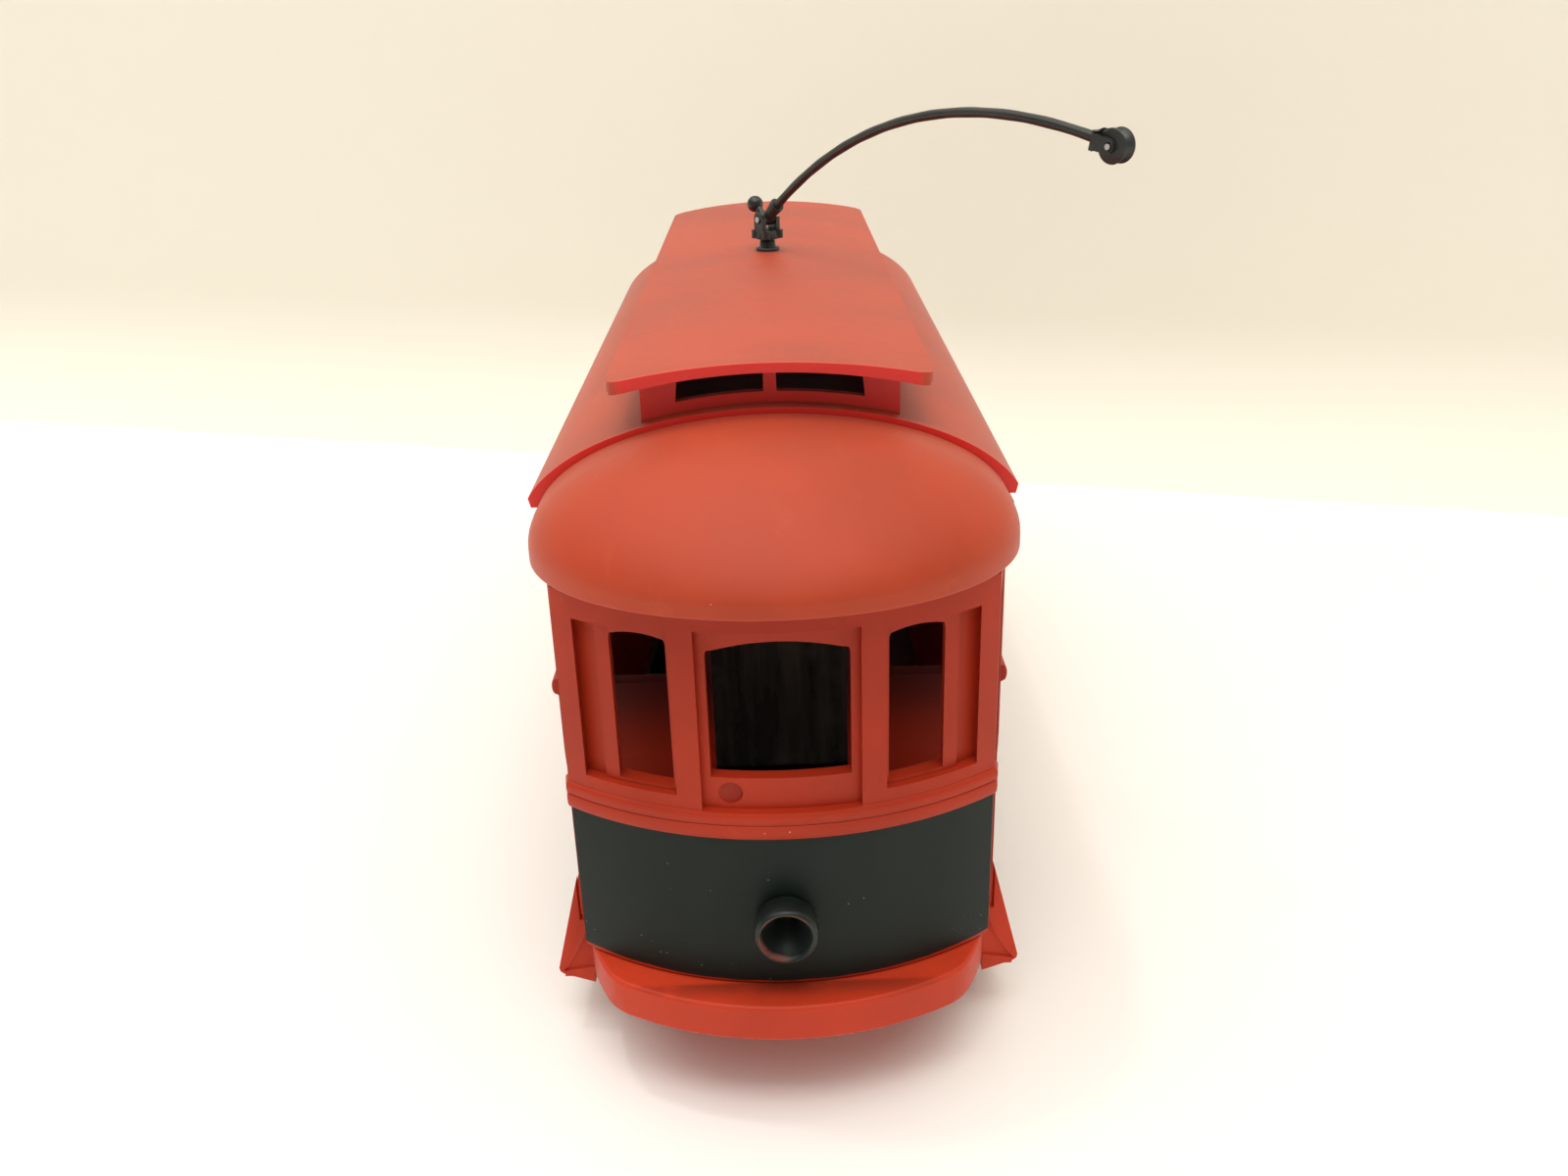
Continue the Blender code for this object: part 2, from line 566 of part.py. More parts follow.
def make_hoods():
    hood = dome("front_hood", HOOD_HALF, HOOD_FRONT, HOOD_CROWN, HOOD_SPRING, HOOD_RIM,
                -(ROOF_END + 0.1 * MM))
    inner = dome("hood_hollow", HOOD_HALF - HOOD_FLANGE_SIDE, HOOD_FRONT - HOOD_FLANGE_FRONT,
                 HOOD_CROWN - HOOD_WALL, HOOD_SPRING, HOOD_RIM - MM, -(ROOF_END - 2 * MM), 12, 5)
    cut(hood, inner)
    front = settle(hood, RED)
    shared("rear_hood", front, math.pi)


# ---- platforms, steps, headlights ----

def platform_plan():
    """Plan of the platform and its bowed bumper, from the left back corner round to the right one."""
    swing = math.degrees(math.asin(PLATFORM_CORNER / PLATFORM_BOW_R))
    front = arc((0, -PLATFORM_FRONT + PLATFORM_BOW_R), PLATFORM_BOW_R, 270 - swing, 270 + swing, 14)
    shoulder = [(front[-1][0] + 0.75 * MM, front[-1][1] + 0.7 * MM), (PLATFORM_HALF - 1.2 * MM, -45.0 * MM),
                (PLATFORM_HALF - 0.45 * MM, -43.2 * MM), (PLATFORM_HALF, -CORNER_Y + 2 * MM)]
    back = -(CHASSIS_END + FIT)
    right = [*shoulder, (PLATFORM_HALF, back)]
    return [(-x, y) for x, y in right[::-1]] + front + right


def make_platform():
    deck = prism("front_platform", [platform_plan()], "Z", PLATFORM_LOW, PLATFORM_TOP, RED)
    rim = deck.modifiers.new("rounded_edges", "BEVEL")
    rim.width = 0.3 * MM
    rim.segments = 2
    rim.limit_method = "ANGLE"
    rim.angle_limit = math.radians(50)
    pocket = ((-TONGUE_HALF - FIT, -TONGUE_END - FIT, FLOOR_BOTTOM - FIT),
              (TONGUE_HALF + FIT, -CHASSIS_END + MM, PLATFORM_TOP + MM))
    cut(deck, blocks("tongue_pocket", [pocket]))
    screw_hole = rods("platform_screw_hole",
                      [(SCREW_R + RUN, (0, -PLATFORM_SCREW_Y, 0), (0, -PLATFORM_SCREW_Y, 20 * MM))])
    cut(deck, screw_hole)
    front = settle(deck, RED)
    shared("rear_platform", front, math.pi)


def make_steps():
    inner = PLATFORM_HALF + FIT
    slope = (STEP_OUT - STEP_FIN_IN) / (STEP_FIN_TOP - STEP_LOW - MM)
    back_y, front_y = -STEP_FRONT + STEP_LENGTH, -STEP_FRONT
    plate = [(inner, STEP_LOW - 0.3 * MM), (STEP_OUT - 0.3 * MM, STEP_LOW + 0.5 * MM),
             (STEP_OUT, STEP_LOW + MM),
             (STEP_FIN_IN, STEP_FIN_TOP), (STEP_FIN_IN, PLATFORM_TOP), (inner, PLATFORM_TOP)]
    step = prism("front_right_step", [plate], "Y", front_y, front_y + STEP_PLATE, RED)
    low_plate = [p for p in plate if p[1] <= PLATFORM_TOP]
    brow = STEP_OUT - slope * (PLATFORM_TOP - STEP_LOW - MM)
    low_plate.insert(3, (brow, PLATFORM_TOP))
    join(step, prism("back_plate", [low_plate], "Y", back_y - STEP_PLATE, back_y))
    tread = ((inner, front_y + 0.1 * MM, STEP_LOW + 0.2 * MM),
             (STEP_OUT - 0.35 * MM, back_y - 0.1 * MM, STEP_LOW + 0.2 * MM + TREAD_THICK))
    riser = ((inner, front_y + 0.1 * MM, STEP_LOW),
             (inner + 0.6 * MM, back_y - 0.1 * MM, PLATFORM_TOP - 0.1 * MM))
    join(step, blocks("tread_board", [tread]))
    join(step, blocks("riser_board", [riser]))
    cove = [(13.0 * MM, PLATFORM_TOP - 0.4 * MM)]
    cove += [(inner + 0.25 * MM + 1.9 * MM * (i / 6) ** 1.5, PLATFORM_TOP - 0.4 * MM - 3.9 * MM * i / 6)
             for i in range(7)]
    cove += [(13.0 * MM, STEP_LOW + 1.1 * MM)]
    cut(step, prism("front_cove", [cove], "Y", front_y - MM, front_y + 0.2 * MM))
    step = settle(step, RED)
    left = mirrored("front_left_step", step)
    shared("rear_left_step", step, math.pi)
    shared("rear_right_step", left, math.pi)


def make_headlights():
    seat = VESTIBULE_END + 0.05 * MM
    face = seat + LAMP_OUT - seat
    profile = [(0, face - 2.9 * MM), (0.25 * MM, face - 2.8 * MM), (LAMP_BORE_R, face),
               (LAMP_R - 0.1 * MM, face + 0.02 * MM),
               (LAMP_R, face - 0.12 * MM), (LAMP_R, 0.12 * MM), (LAMP_PLUG_R, 0.12 * MM),
               (LAMP_PLUG_R, -1.6 * MM), (0, -1.6 * MM)]
    lamp = turned("front_headlight", profile, "Z", (0, 0, 0), BLACK, 22)
    lamp.rotation_euler = (math.pi / 2, 0, 0)
    lamp.location = (0, -VESTIBULE_END, LAMP_Z)
    lamp = settle(lamp, BLACK)
    shared("rear_headlight", lamp, math.pi)


# ---- chassis, ballast and fixings ----

def circle(centre, radius, count=12):
    return arc(centre, radius, 0, 360 - 360 / count, count - 1)


def rectangle(half_x, half_y):
    return [(-half_x, -half_y), (half_x, -half_y), (half_x, half_y), (-half_x, half_y)]


def make_chassis():
    plan = rectangle(CHASSIS_HALF, CHASSIS_END)
    holes = []
    for y in (-BALLAST_SCREW_Y, BALLAST_SCREW_Y):
        holes.append(circle((0, y), SCREW_R + RUN))
    for x in (-PEG_X, PEG_X):
        for y in (-PEG_Y, PEG_Y):
            holes.append(circle((x, y), SCREW_R + RUN))
    chassis = prism("chassis", [plan, *holes], "Z", FLOOR_BOTTOM, FLOOR_TOP, BLACK)
    tongues = [((-TONGUE_HALF, -TONGUE_END, FLOOR_BOTTOM + 0.05 * MM),
                (TONGUE_HALF, -CHASSIS_END + MM, FLOOR_TOP - 0.05 * MM)),
               ((-TONGUE_HALF, CHASSIS_END - MM, FLOOR_BOTTOM + 0.05 * MM),
                (TONGUE_HALF, TONGUE_END, FLOOR_TOP - 0.05 * MM))]
    join(chassis, blocks("tongues", tongues))
    bores = [(SCREW_R + RUN, (0, y, 0), (0, y, 20 * MM)) for y in (-PLATFORM_SCREW_Y, PLATFORM_SCREW_Y)]
    cut(chassis, rods("tongue_screw_holes", bores, segments=12))
    outer = WELL_HALF + TUB_WALL
    outer_end = WELL_END + TUB_WALL
    join(chassis, blocks("tub", [((-outer, -outer_end, TUB_LOW),
                                  (outer, outer_end, FLOOR_TOP - 0.3 * MM))]))
    wells = [((-WELL_HALF, -WELL_END, 0), (WELL_HALF, -CRADLE_FAR, 20 * MM)),
             ((-WELL_HALF, -CRADLE_NEAR, 0), (WELL_HALF, CRADLE_NEAR, 20 * MM)),
             ((-WELL_HALF, CRADLE_FAR, 0), (WELL_HALF, WELL_END, 20 * MM))]
    cut(chassis, blocks("wells", wells))
    cut(chassis, rods("motor_bed", [(MOTOR_R + FIT, (0, -10 * MM, SHAFT_Z), (0, 10 * MM, SHAFT_Z))],
                      segments=24))
    slot = AXLE_R + FIT
    slots = [((-outer - MM, s * WHEELBASE / 2 - slot, 0),
              (outer + MM, s * WHEELBASE / 2 + slot, AXLE_Z + slot)) for s in (-1, 1)]
    cut(chassis, blocks("axle_slots", slots))
    low_x, high_x = GAUGE_BACK / 2 - WHEEL_ROOM, GAUGE_BACK / 2 + WHEEL_WIDE + WHEEL_ROOM
    reach = FLANGE_R + WHEEL_ROOM
    arches = [((low_x if s > 0 else -high_x, t * WHEELBASE / 2 - reach, 0),
               (high_x if s > 0 else -low_x, t * WHEELBASE / 2 + reach, 20 * MM))
              for s in (-1, 1) for t in (-1, 1)]
    cut(chassis, blocks("wheel_arches", arches))
    keeper_holes = [(SCREW_R + RUN, (0, y, 0), (0, y, TUB_LOW + 2.8 * MM))
                    for y in (-KEEPER_SCREW_Y, KEEPER_SCREW_Y)]
    cut(chassis, rods("keeper_screw_holes", keeper_holes, segments=12))
    notches = [(0.5 * MM, (s * 4 * MM, LEAD_Y, LEAD_Z), (s * 8 * MM, LEAD_Y, LEAD_Z)) for s in (-1, 1)]
    cut(chassis, rods("lead_holes", notches, segments=10))


def make_keeper():
    top = TUB_LOW - FIT
    holes = [circle((0, y), SCREW_R + RUN) for y in (-KEEPER_SCREW_Y, KEEPER_SCREW_Y)]
    plate = [rectangle(WELL_HALF + TUB_WALL, WELL_END + TUB_WALL), *holes]
    prism("keeper_plate", plate, "Z", top - KEEPER_THICK, top, BLACK)
    for name, y in (("front_keeper_screw", -KEEPER_SCREW_Y), ("rear_keeper_screw", KEEPER_SCREW_Y)):
        make_screw(name, y, top - KEEPER_THICK, 3.6 * MM)


def make_screw(name, y, seat, length):
    """A pan-head screw driven upwards, with its head under the seat and a cross slot."""
    head = SCREW_HEAD
    profile = [(0, length), (SCREW_R - 0.1 * MM, length), (SCREW_R, length - 0.3 * MM), (SCREW_R, -FIT / 2),
               (SCREW_HEAD_R, -FIT / 2), (SCREW_HEAD_R * 0.85, -head), (0, -head)]
    screw = turned(name, profile, "Z", (0, y, seat), STEEL, 12)
    slit = 0.12 * MM
    low = seat - head - MM
    high = seat - head + 0.22 * MM
    cross = [((-0.6 * MM, y - slit, low), (0.6 * MM, y + slit, high))]
    cut(screw, blocks(name + "_slot", cross))


def make_ballast():
    weight = blocks("ballast_weight", [((-BALLAST_HALF, -BALLAST_END, FLOOR_TOP + FIT),
                                        (BALLAST_HALF, BALLAST_END, BALLAST_TOP))], CAST)
    rim = weight.modifiers.new("rounded_edges", "BEVEL")
    rim.width = 0.6 * MM
    rim.segments = 2
    channel = [((-CHANNEL_HALF, -WELL_END, 0), (CHANNEL_HALF, WELL_END, CHANNEL_TOP))]
    cut(weight, blocks("motor_channel", channel))
    holes = [(SCREW_R + RUN, (0, y, 0), (0, y, FLOOR_TOP + 3.2 * MM))
             for y in (-BALLAST_SCREW_Y, BALLAST_SCREW_Y)]
    cut(weight, rods("ballast_screw_holes", holes, segments=12))
    for name, y in (("front_ballast_screw", -BALLAST_SCREW_Y), ("rear_ballast_screw", BALLAST_SCREW_Y)):
        make_screw(name, y, FLOOR_BOTTOM, 3.6 * MM)
    for name, y in (("front_platform_screw", -PLATFORM_SCREW_Y), ("rear_platform_screw", PLATFORM_SCREW_Y)):
        make_screw(name, y, PLATFORM_LOW, 3.6 * MM)


def make_side_frames():
    """Truck side: top bar, two pedestals with axle boxes, spring posts and a tie bar."""
    half = WHEELBASE / 2
    bar_low, bar_high = 7.0 * MM, FLOOR_BOTTOM - FIT
    tie_low, tie_high = 3.3 * MM, 4.2 * MM
    pedestal, post = 2.3 * MM, 1.3 * MM
    spring = 5.2 * MM
    foot = 2.9 * MM
    outline = [(-FRAME_END, bar_low + 0.4 * MM), (-half - pedestal, bar_low), (-half - pedestal, foot),
               (-half + pedestal, foot),
               (-half + pedestal, tie_low), (half - pedestal, tie_low), (half - pedestal, foot),
               (half + pedestal, foot),
               (half + pedestal, bar_low), (FRAME_END, bar_low + 0.4 * MM), (FRAME_END, bar_high),
               (-FRAME_END, bar_high)]
    frame = prism("right_side_frame", [outline], "X", FRAME_IN, FRAME_IN + FRAME_THICK, BLACK)
    gaps = [((0, low, tie_high), (20 * MM, high, bar_low)) for low, high in
            ((-half + pedestal, -spring - post), (-spring + post, spring - post),
             (spring + post, half - pedestal))]
    cut(frame, blocks("frame_gaps", gaps))
    out = FRAME_IN + FRAME_THICK - 0.2 * MM
    boxes = [((out, s * half - 1.6 * MM, AXLE_Z - 1.9 * MM),
              (out + 1.2 * MM, s * half + 1.6 * MM, AXLE_Z + 1.7 * MM)) for s in (-1, 1)]
    join(frame, blocks("axle_boxes", boxes))
    join(frame, blocks("mounting_flange",
                       [((FRAME_IN + 0.3 * MM, -FRAME_END + MM, bar_high - 0.5 * MM),
                         (FLANGE_OUT, FRAME_END - MM, bar_high))]))
    join(frame, rods("pegs", [(SCREW_R, (PEG_X, y, bar_high - 0.3 * MM), (PEG_X, y, FLOOR_TOP))
                              for y in (-PEG_Y, PEG_Y)], segments=12))
    coils = [(0.95 * MM, (out + 0.2 * MM, s * spring, tie_high - 0.3 * MM),
              (out + 0.2 * MM, s * spring, bar_low + 0.2 * MM)) for s in (-1, 1)]
    join(frame, rods("spring_cans", coils, segments=14))
    frame = settle(frame, BLACK)
    shared("left_side_frame", frame, math.pi)


PEG_X = 11.9 * MM
BALLAST_SCREW_Y = 20.6 * MM
LEAD_Y, LEAD_Z = 9.7 * MM, 7.3 * MM


# ---- wheels, gears and motor ----

def make_wheels():
    hub, web, rim = 1.9 * MM, 3.7 * MM, 4.05 * MM
    bore = AXLE_R + RUN / 2
    wide = WHEEL_WIDE
    profile = [(bore, wide), (hub, wide), (hub + 0.25 * MM, wide - 0.7 * MM), (web, wide - 0.8 * MM),
               (rim, wide - 0.1 * MM),
               (TREAD_R, wide - 0.1 * MM), (TREAD_R + 0.05 * MM, 1.0 * MM), (FLANGE_R, 0.55 * MM),
               (FLANGE_R - 0.2 * MM, 0), (bore, 0)]
    wheel = settle(turned("wheel", profile, "X", (0, 0, 0), STEEL, 24), STEEL)
    for end, y in (("front", -WHEELBASE / 2), ("rear", WHEELBASE / 2)):
        shared(f"{end}_right_wheel", wheel, 0.0, (GAUGE_BACK / 2, y, AXLE_Z))
        shared(f"{end}_left_wheel", wheel, math.pi, (-GAUGE_BACK / 2, y, AXLE_Z))
        point = 0.2 * MM
        bar = [(0, AXLE_HALF), (AXLE_R - point, AXLE_HALF), (AXLE_R, AXLE_HALF - point),
               (AXLE_R, -AXLE_HALF + point),
               (AXLE_R - point, -AXLE_HALF), (0, -AXLE_HALF)]
        turned(f"{end}_axle", bar, "X", (0, y, AXLE_Z), STEEL, 14)
    bpy.data.objects.remove(wheel)


def loft(name, rings, material):
    """Joins rings of equal count into a tube and closes it round, last ring to first."""
    bm = bmesh.new()
    lines = [[bm.verts.new(point) for point in ring] for ring in rings]
    for near, far in zip(lines, lines[1:] + lines[:1]):
        for i in range(len(near)):
            k = (i + 1) % len(near)
            bm.faces.new((near[i], near[k], far[k], far[i]))
    return from_bmesh(name, bm, material)


def make_axle_gears():
    """Round-topped helical teeth whose lead matches the worms above."""
    pitch = math.pi * MODULE
    twist = -pitch / (2 * math.pi * WORM_R * GEAR_R)
    count = TEETH * 5
    bore = AXLE_R + RUN / 2
    for end, y in (("front", -WHEELBASE / 2), ("rear", WHEELBASE / 2)):
        def ring(x, radius_at):
            points = []
            for i in range(count):
                a = 2 * math.pi * i / count
                r = radius_at(a, x)
                points.append((x, r * math.sin(a), r * math.cos(a)))
            return points

        def tooth(a, x):
            return GEAR_R - TOOTH * math.cos(TEETH * (a + twist * x))

        def hole(a, x):
            return bore

        half = GEAR_WIDE / 2
        rings = [ring(-half, tooth), ring(half, tooth), ring(half, hole), ring(-half, hole)]
        gear = loft(f"{end}_axle_gear", rings, NYLON)
        gear.location = (0, y, AXLE_Z)


def make_worms():
    """Single-start round thread, right over the gear's middle at rest."""
    pitch = math.pi * MODULE
    turns, around = 24, 12
    for end, y in (("front", -WHEELBASE / 2), ("rear", WHEELBASE / 2)):
        rings = []
        for j in range(turns + 1):
            h = WORM_HALF * (2 * j / turns - 1)
            fade = min(1.0, (WORM_HALF - abs(h)) / (0.5 * MM))
            points = []
            for i in range(around):
                a = 2 * math.pi * i / around
                r = WORM_R - TOOTH * (1 - fade) + TOOTH * fade * math.cos(2 * math.pi * h / pitch - a)
                points.append((r * math.sin(a), h, -r * math.cos(a)))
            rings.append(points)
        for h in (WORM_HALF, -WORM_HALF):
            r = SHAFT_R + RUN / 2
            rings.append([(r * math.sin(2 * math.pi * i / around), h,
                           -r * math.cos(2 * math.pi * i / around)) for i in range(around)])
        worm = loft(f"{end}_worm", rings, BRASS)
        worm.location = (0, y, SHAFT_Z)


def make_motor():
    inner = MOTOR_R - MOTOR_WALL
    shaft_hole = SHAFT_R + RUN
    back = MOTOR_BACK
    can = [(inner, MOTOR_OPEN), (MOTOR_R, MOTOR_OPEN), (MOTOR_R, back + 0.3 * MM),
           (MOTOR_R - 0.3 * MM, back), (BOSS_R, back),
           (BOSS_R, back - BOSS_OUT), (shaft_hole, back - BOSS_OUT), (shaft_hole, back + MOTOR_WALL),
           (inner, back + MOTOR_WALL)]
    turned("motor_can", can, "Y", (0, 0, SHAFT_Z), STEEL, 24)
    low = MOTOR_OPEN + FIT
    high = low + BELL_THICK
    bell = [(shaft_hole, high + 1.3 * MM), (BOSS_R + 0.4 * MM, high + 1.3 * MM),
            (BOSS_R + 0.6 * MM, high), (MOTOR_R, high),
            (MOTOR_R, low), (shaft_hole, low)]
    end_bell = turned("motor_end_bell", bell, "Y", (0, 0, SHAFT_Z), BLACK, 24)
    slot_x, slot_z = BRUSH_STRIP / 2 + RUN, 0.7 * MM + RUN
    slots = [((s * BRUSH_X - slot_x, 0, SHAFT_Z - slot_z),
              (s * BRUSH_X + slot_x, 12 * MM, SHAFT_Z + slot_z)) for s in (-1, 1)]
    cut(end_bell, blocks("brush_slots", slots))
    near, far = ARMATURE_R + AIR_GAP, ARMATURE_R + AIR_GAP + MAGNET_THICK
    for name, middle in (("upper_magnet", 90), ("lower_magnet", 270)):
        sector = arc((0, SHAFT_Z), far, middle - 60, middle + 60, 12) + arc((0, SHAFT_Z), near,
                middle + 60, middle - 60, 12)
        prism(name, [sector], "Y", -6.8 * MM, 1.9 * MM, FERRITE)
    brush_low = COMMUTATOR_LOW + 0.6 * MM
    for name, s in (("left_brush", -1), ("right_brush", 1)):
        x = s * BRUSH_X
        tip = s * (COMMUTATOR_R + RUN)
        strip = [(x - s * BRUSH_STRIP / 2, brush_low), (x + s * BRUSH_STRIP / 2, brush_low),
                 (x + s * BRUSH_STRIP / 2, high + 0.9 * MM),
                 (x - s * BRUSH_STRIP / 2, high + 0.9 * MM),
                 (x - s * BRUSH_STRIP / 2, brush_low + 1.2 * MM), (tip, brush_low + 1.2 * MM),
                 (tip, brush_low)]
        prism(name, [strip], "Z", SHAFT_Z - 0.7 * MM, SHAFT_Z + 0.7 * MM, COPPER)
    star = []
    for pole in range(3):
        middle = 90 + 120 * pole
        shoe = 46
        star += arc((0, 0), 1.5 * MM, middle - 60, middle - 32, 2)
        star += [(2.5 * MM * math.cos(math.radians(middle + d)),
                  2.5 * MM * math.sin(math.radians(middle + d))) for d in (-18, -shoe)]
        star += arc((0, 0), ARMATURE_R, middle - shoe, middle + shoe, 8)
        star += [(2.5 * MM * math.cos(math.radians(middle + d)),
                  2.5 * MM * math.sin(math.radians(middle + d))) for d in (shoe, 18)]
        star += arc((0, 0), 1.5 * MM, middle + 32, middle + 52, 1)
    core = prism("armature_core", [[(x, z + SHAFT_Z) for x, z in star],
                                   circle((0, SHAFT_Z), SHAFT_R + RUN / 2, 16)], "Y",
                 -6.4 * MM, 1.5 * MM, COPPER)
    core.data.name = "armature_core"
    sleeve = SHAFT_R + RUN / 2
    ring = [(sleeve, COMMUTATOR_HIGH), (COMMUTATOR_R, COMMUTATOR_HIGH), (COMMUTATOR_R, COMMUTATOR_LOW),
            (sleeve, COMMUTATOR_LOW)]
    turned("commutator", ring, "Y", (0, 0, SHAFT_Z), COPPER, 18)
    tip = 0.15 * MM
    bar = [(0, SHAFT_HALF), (SHAFT_R - tip, SHAFT_HALF), (SHAFT_R, SHAFT_HALF - tip),
           (SHAFT_R, -SHAFT_HALF + tip), (SHAFT_R - tip, -SHAFT_HALF), (0, -SHAFT_HALF)]
    turned("motor_shaft", bar, "Y", (0, 0, SHAFT_Z), STEEL, 16)


def make_pickups():
    """Sprung bronze strips beside the tub, whose ends bear on the backs of the wheels."""
    near = WELL_HALF + TUB_WALL + FIT
    touch = GAUGE_BACK / 2 - FIT - PICKUP_THICK
    half = WHEELBASE / 2
    path = [(touch, -half + 1.4 * MM), (touch, -half + 2.6 * MM), (near, -half + 6.5 * MM)]
    path += [(x, -y) for x, y in path[::-1]]
    strip = path + [(x + PICKUP_THICK, y) for x, y in path[::-1]]
    right = prism("right_pickup", [strip], "Z", LEAD_Z - 0.55 * MM, LEAD_Z + 0.55 * MM, COPPER)
    shared("left_pickup", right, math.pi)


def tube(name, points, radius, material, kind="POLY", resolution=1, sides=2):
    """A round wire or pole along points."""
    curve = bpy.data.curves.new(name, "CURVE")
    curve.dimensions = "3D"
    curve.bevel_depth = radius
    curve.bevel_resolution = sides
    curve.use_fill_caps = True
    curve.resolution_u = resolution
    spline = curve.splines.new(kind)
    spline.points.add(len(points) - 1)
    for spot, place in zip(spline.points, points):
        spot.co = (*place, 1)
    made = bpy.data.objects.new(name, curve)
    parts.objects.link(made)
    return as_mesh(name, made, material)


def smooth_route(points, steps):
    """Catmull-Rom points through a route."""
    knots = [Vector(p) for p in points]
    knots = [2 * knots[0] - knots[1], *knots, 2 * knots[-1] - knots[-2]]
    route = []
    for a, b, c, d in zip(knots, knots[1:], knots[2:], knots[3:]):
        for i in range(steps):
            t = i / steps
            curve = (2 * a - 5 * b + 4 * c - d) * t ** 2 + (3 * b - a - 3 * c + d) * t ** 3
            route.append(0.5 * (2 * b + (c - a) * t + curve))
    return [*route, knots[-2]]


def make_leads():
    """Insulated leads from the pickups, through the tub wall, up to the brush terminals."""
    near = WELL_HALF + TUB_WALL + FIT
    end_y = MOTOR_OPEN + FIT + BELL_THICK + 0.9 * MM + FIT + LEAD_R
    for name, s, material in (("left_motor_lead", -1, WIRE_BLACK), ("right_motor_lead", 1, WIRE_RED)):
        route = [(s * (near - FIT), LEAD_Y, LEAD_Z), (s * (near - MM), LEAD_Y, LEAD_Z),
                 (s * 4.5 * MM, LEAD_Y, LEAD_Z + 0.5 * MM),
                 (s * 3.8 * MM, (LEAD_Y + end_y) / 2, 9.2 * MM), (s * BRUSH_X, end_y, SHAFT_Z + 0.6 * MM)]
        tube(name, smooth_route(route, 3), LEAD_R, material, sides=1)


# ---- trolley pole ----

ALONG = Vector((math.sin(POLE_TURN), -math.cos(POLE_TURN), 0))  # level direction of the pole
ACROSS = Vector((math.cos(POLE_TURN), math.sin(POLE_TURN), 0))  # direction of its hinge
UP = Vector((0, 0, 1))
FOOT = Vector((0, POLE_Y, 0))


def pole_point(along, height, across=0.0):
    return FOOT + ALONG * along + ACROSS * across + UP * height


def bezier(t):
    """The pole's centre line: a steep start at the hinge, a crest and a drooping tip."""
    start = (0.0, HINGE_Z)
    weights = ((1 - t) ** 3, 3 * t * (1 - t) ** 2, 3 * t * t * (1 - t), t ** 3)
    spots = (start, POLE_RISE, POLE_CREST, POLE_TIP)
    return tuple(sum(w * p[k] for w, p in zip(weights, spots)) for k in (0, 1))


def oriented(name, bm, material):
    return from_bmesh(name, bm, material)


def slab(bm, along, across, height):
    """A box in the pole's own directions; each argument is a (low, high) pair."""
    size = (along[1] - along[0], across[1] - across[0], height[1] - height[0])
    middle = pole_point(sum(along) / 2, sum(height) / 2, sum(across) / 2)
    turn = Matrix.Rotation(POLE_TURN - math.pi / 2, 4, "Z")
    bmesh.ops.create_cube(bm, size=1, matrix=Matrix.Translation(middle) @ turn @ Matrix.Diagonal((*size,
            1)))


def make_pole_base():
    crown = deck_z(0)
    under = deck_under(0)
    stem, post = 0.6 * MM, 0.68 * MM
    pin_top = HINGE_Z - 0.85 * MM
    profile = [(0, pin_top), (PIVOT_R - RUN, pin_top), (PIVOT_R - RUN, TURRET_LOW - FIT),
               (post, TURRET_LOW - FIT), (post, crown + 0.35 * MM),
               (1.05 * MM, crown + 0.3 * MM), (1.05 * MM, crown + 0.05 * MM), (stem, crown + 0.05 * MM),
               (stem, under - 0.9 * MM), (0, under - 0.9 * MM)]
    turned("pole_base", profile, "Z", FOOT, BLACK, 18)
    clip_top, clip_low = under - FIT, under - FIT - 0.45 * MM
    ring = [(stem + RUN, clip_top), (1.5 * MM, clip_top), (1.5 * MM, clip_low), (stem + RUN, clip_low)]
    turned("pole_clip", ring, "Z", FOOT, STEEL, 18)
    return pin_top


def make_turret():
    body = [(PIVOT_R, TURRET_TOP), (TURRET_R - 0.35 * MM, TURRET_TOP), (TURRET_R - 0.2 * MM, TURRET_LOW),
            (PIVOT_R, TURRET_LOW)]
    turret = turned("pole_turret", body, "Z", FOOT, BLACK, 18)
    lobes = bmesh.new()
    for quarter in range(4):
        a = POLE_TURN + math.pi / 4 + quarter * math.pi / 2
        spot = FOOT + Vector((math.cos(a), math.sin(a), 0)) * (TURRET_R - 0.3 * MM)
        rod(lobes, 0.38 * MM, spot + UP * (TURRET_LOW + 0.03 * MM), spot + UP * (TURRET_TOP + 0.05 * MM), 8)
    join(turret, from_bmesh("turret_lobes", lobes, None))
    for s in (-1, 1):
        cheek = bmesh.new()
        across = (CHEEK_IN, CHEEK_OUT) if s > 0 else (-CHEEK_OUT, -CHEEK_IN)
        slab(cheek, (-CHEEK_HALF, CHEEK_HALF), across, (TURRET_TOP - 0.2 * MM, CHEEK_TOP))
        join(turret, from_bmesh(f"turret_cheek_{s}", cheek, None))
    bore = bmesh.new()
    rod(bore, HINGE_PIN_R + RUN, pole_point(0, HINGE_Z, -2 * MM), pole_point(0, HINGE_Z, 2 * MM), 12)
    cut(turret, from_bmesh("hinge_bore", bore, None))
    pin = bmesh.new()
    rod(pin, HINGE_PIN_R, pole_point(0, HINGE_Z, -CHEEK_OUT - 0.15 * MM),
        pole_point(0, HINGE_Z, CHEEK_OUT + 0.15 * MM), 12)
    from_bmesh("hinge_pin", pin, STEEL)


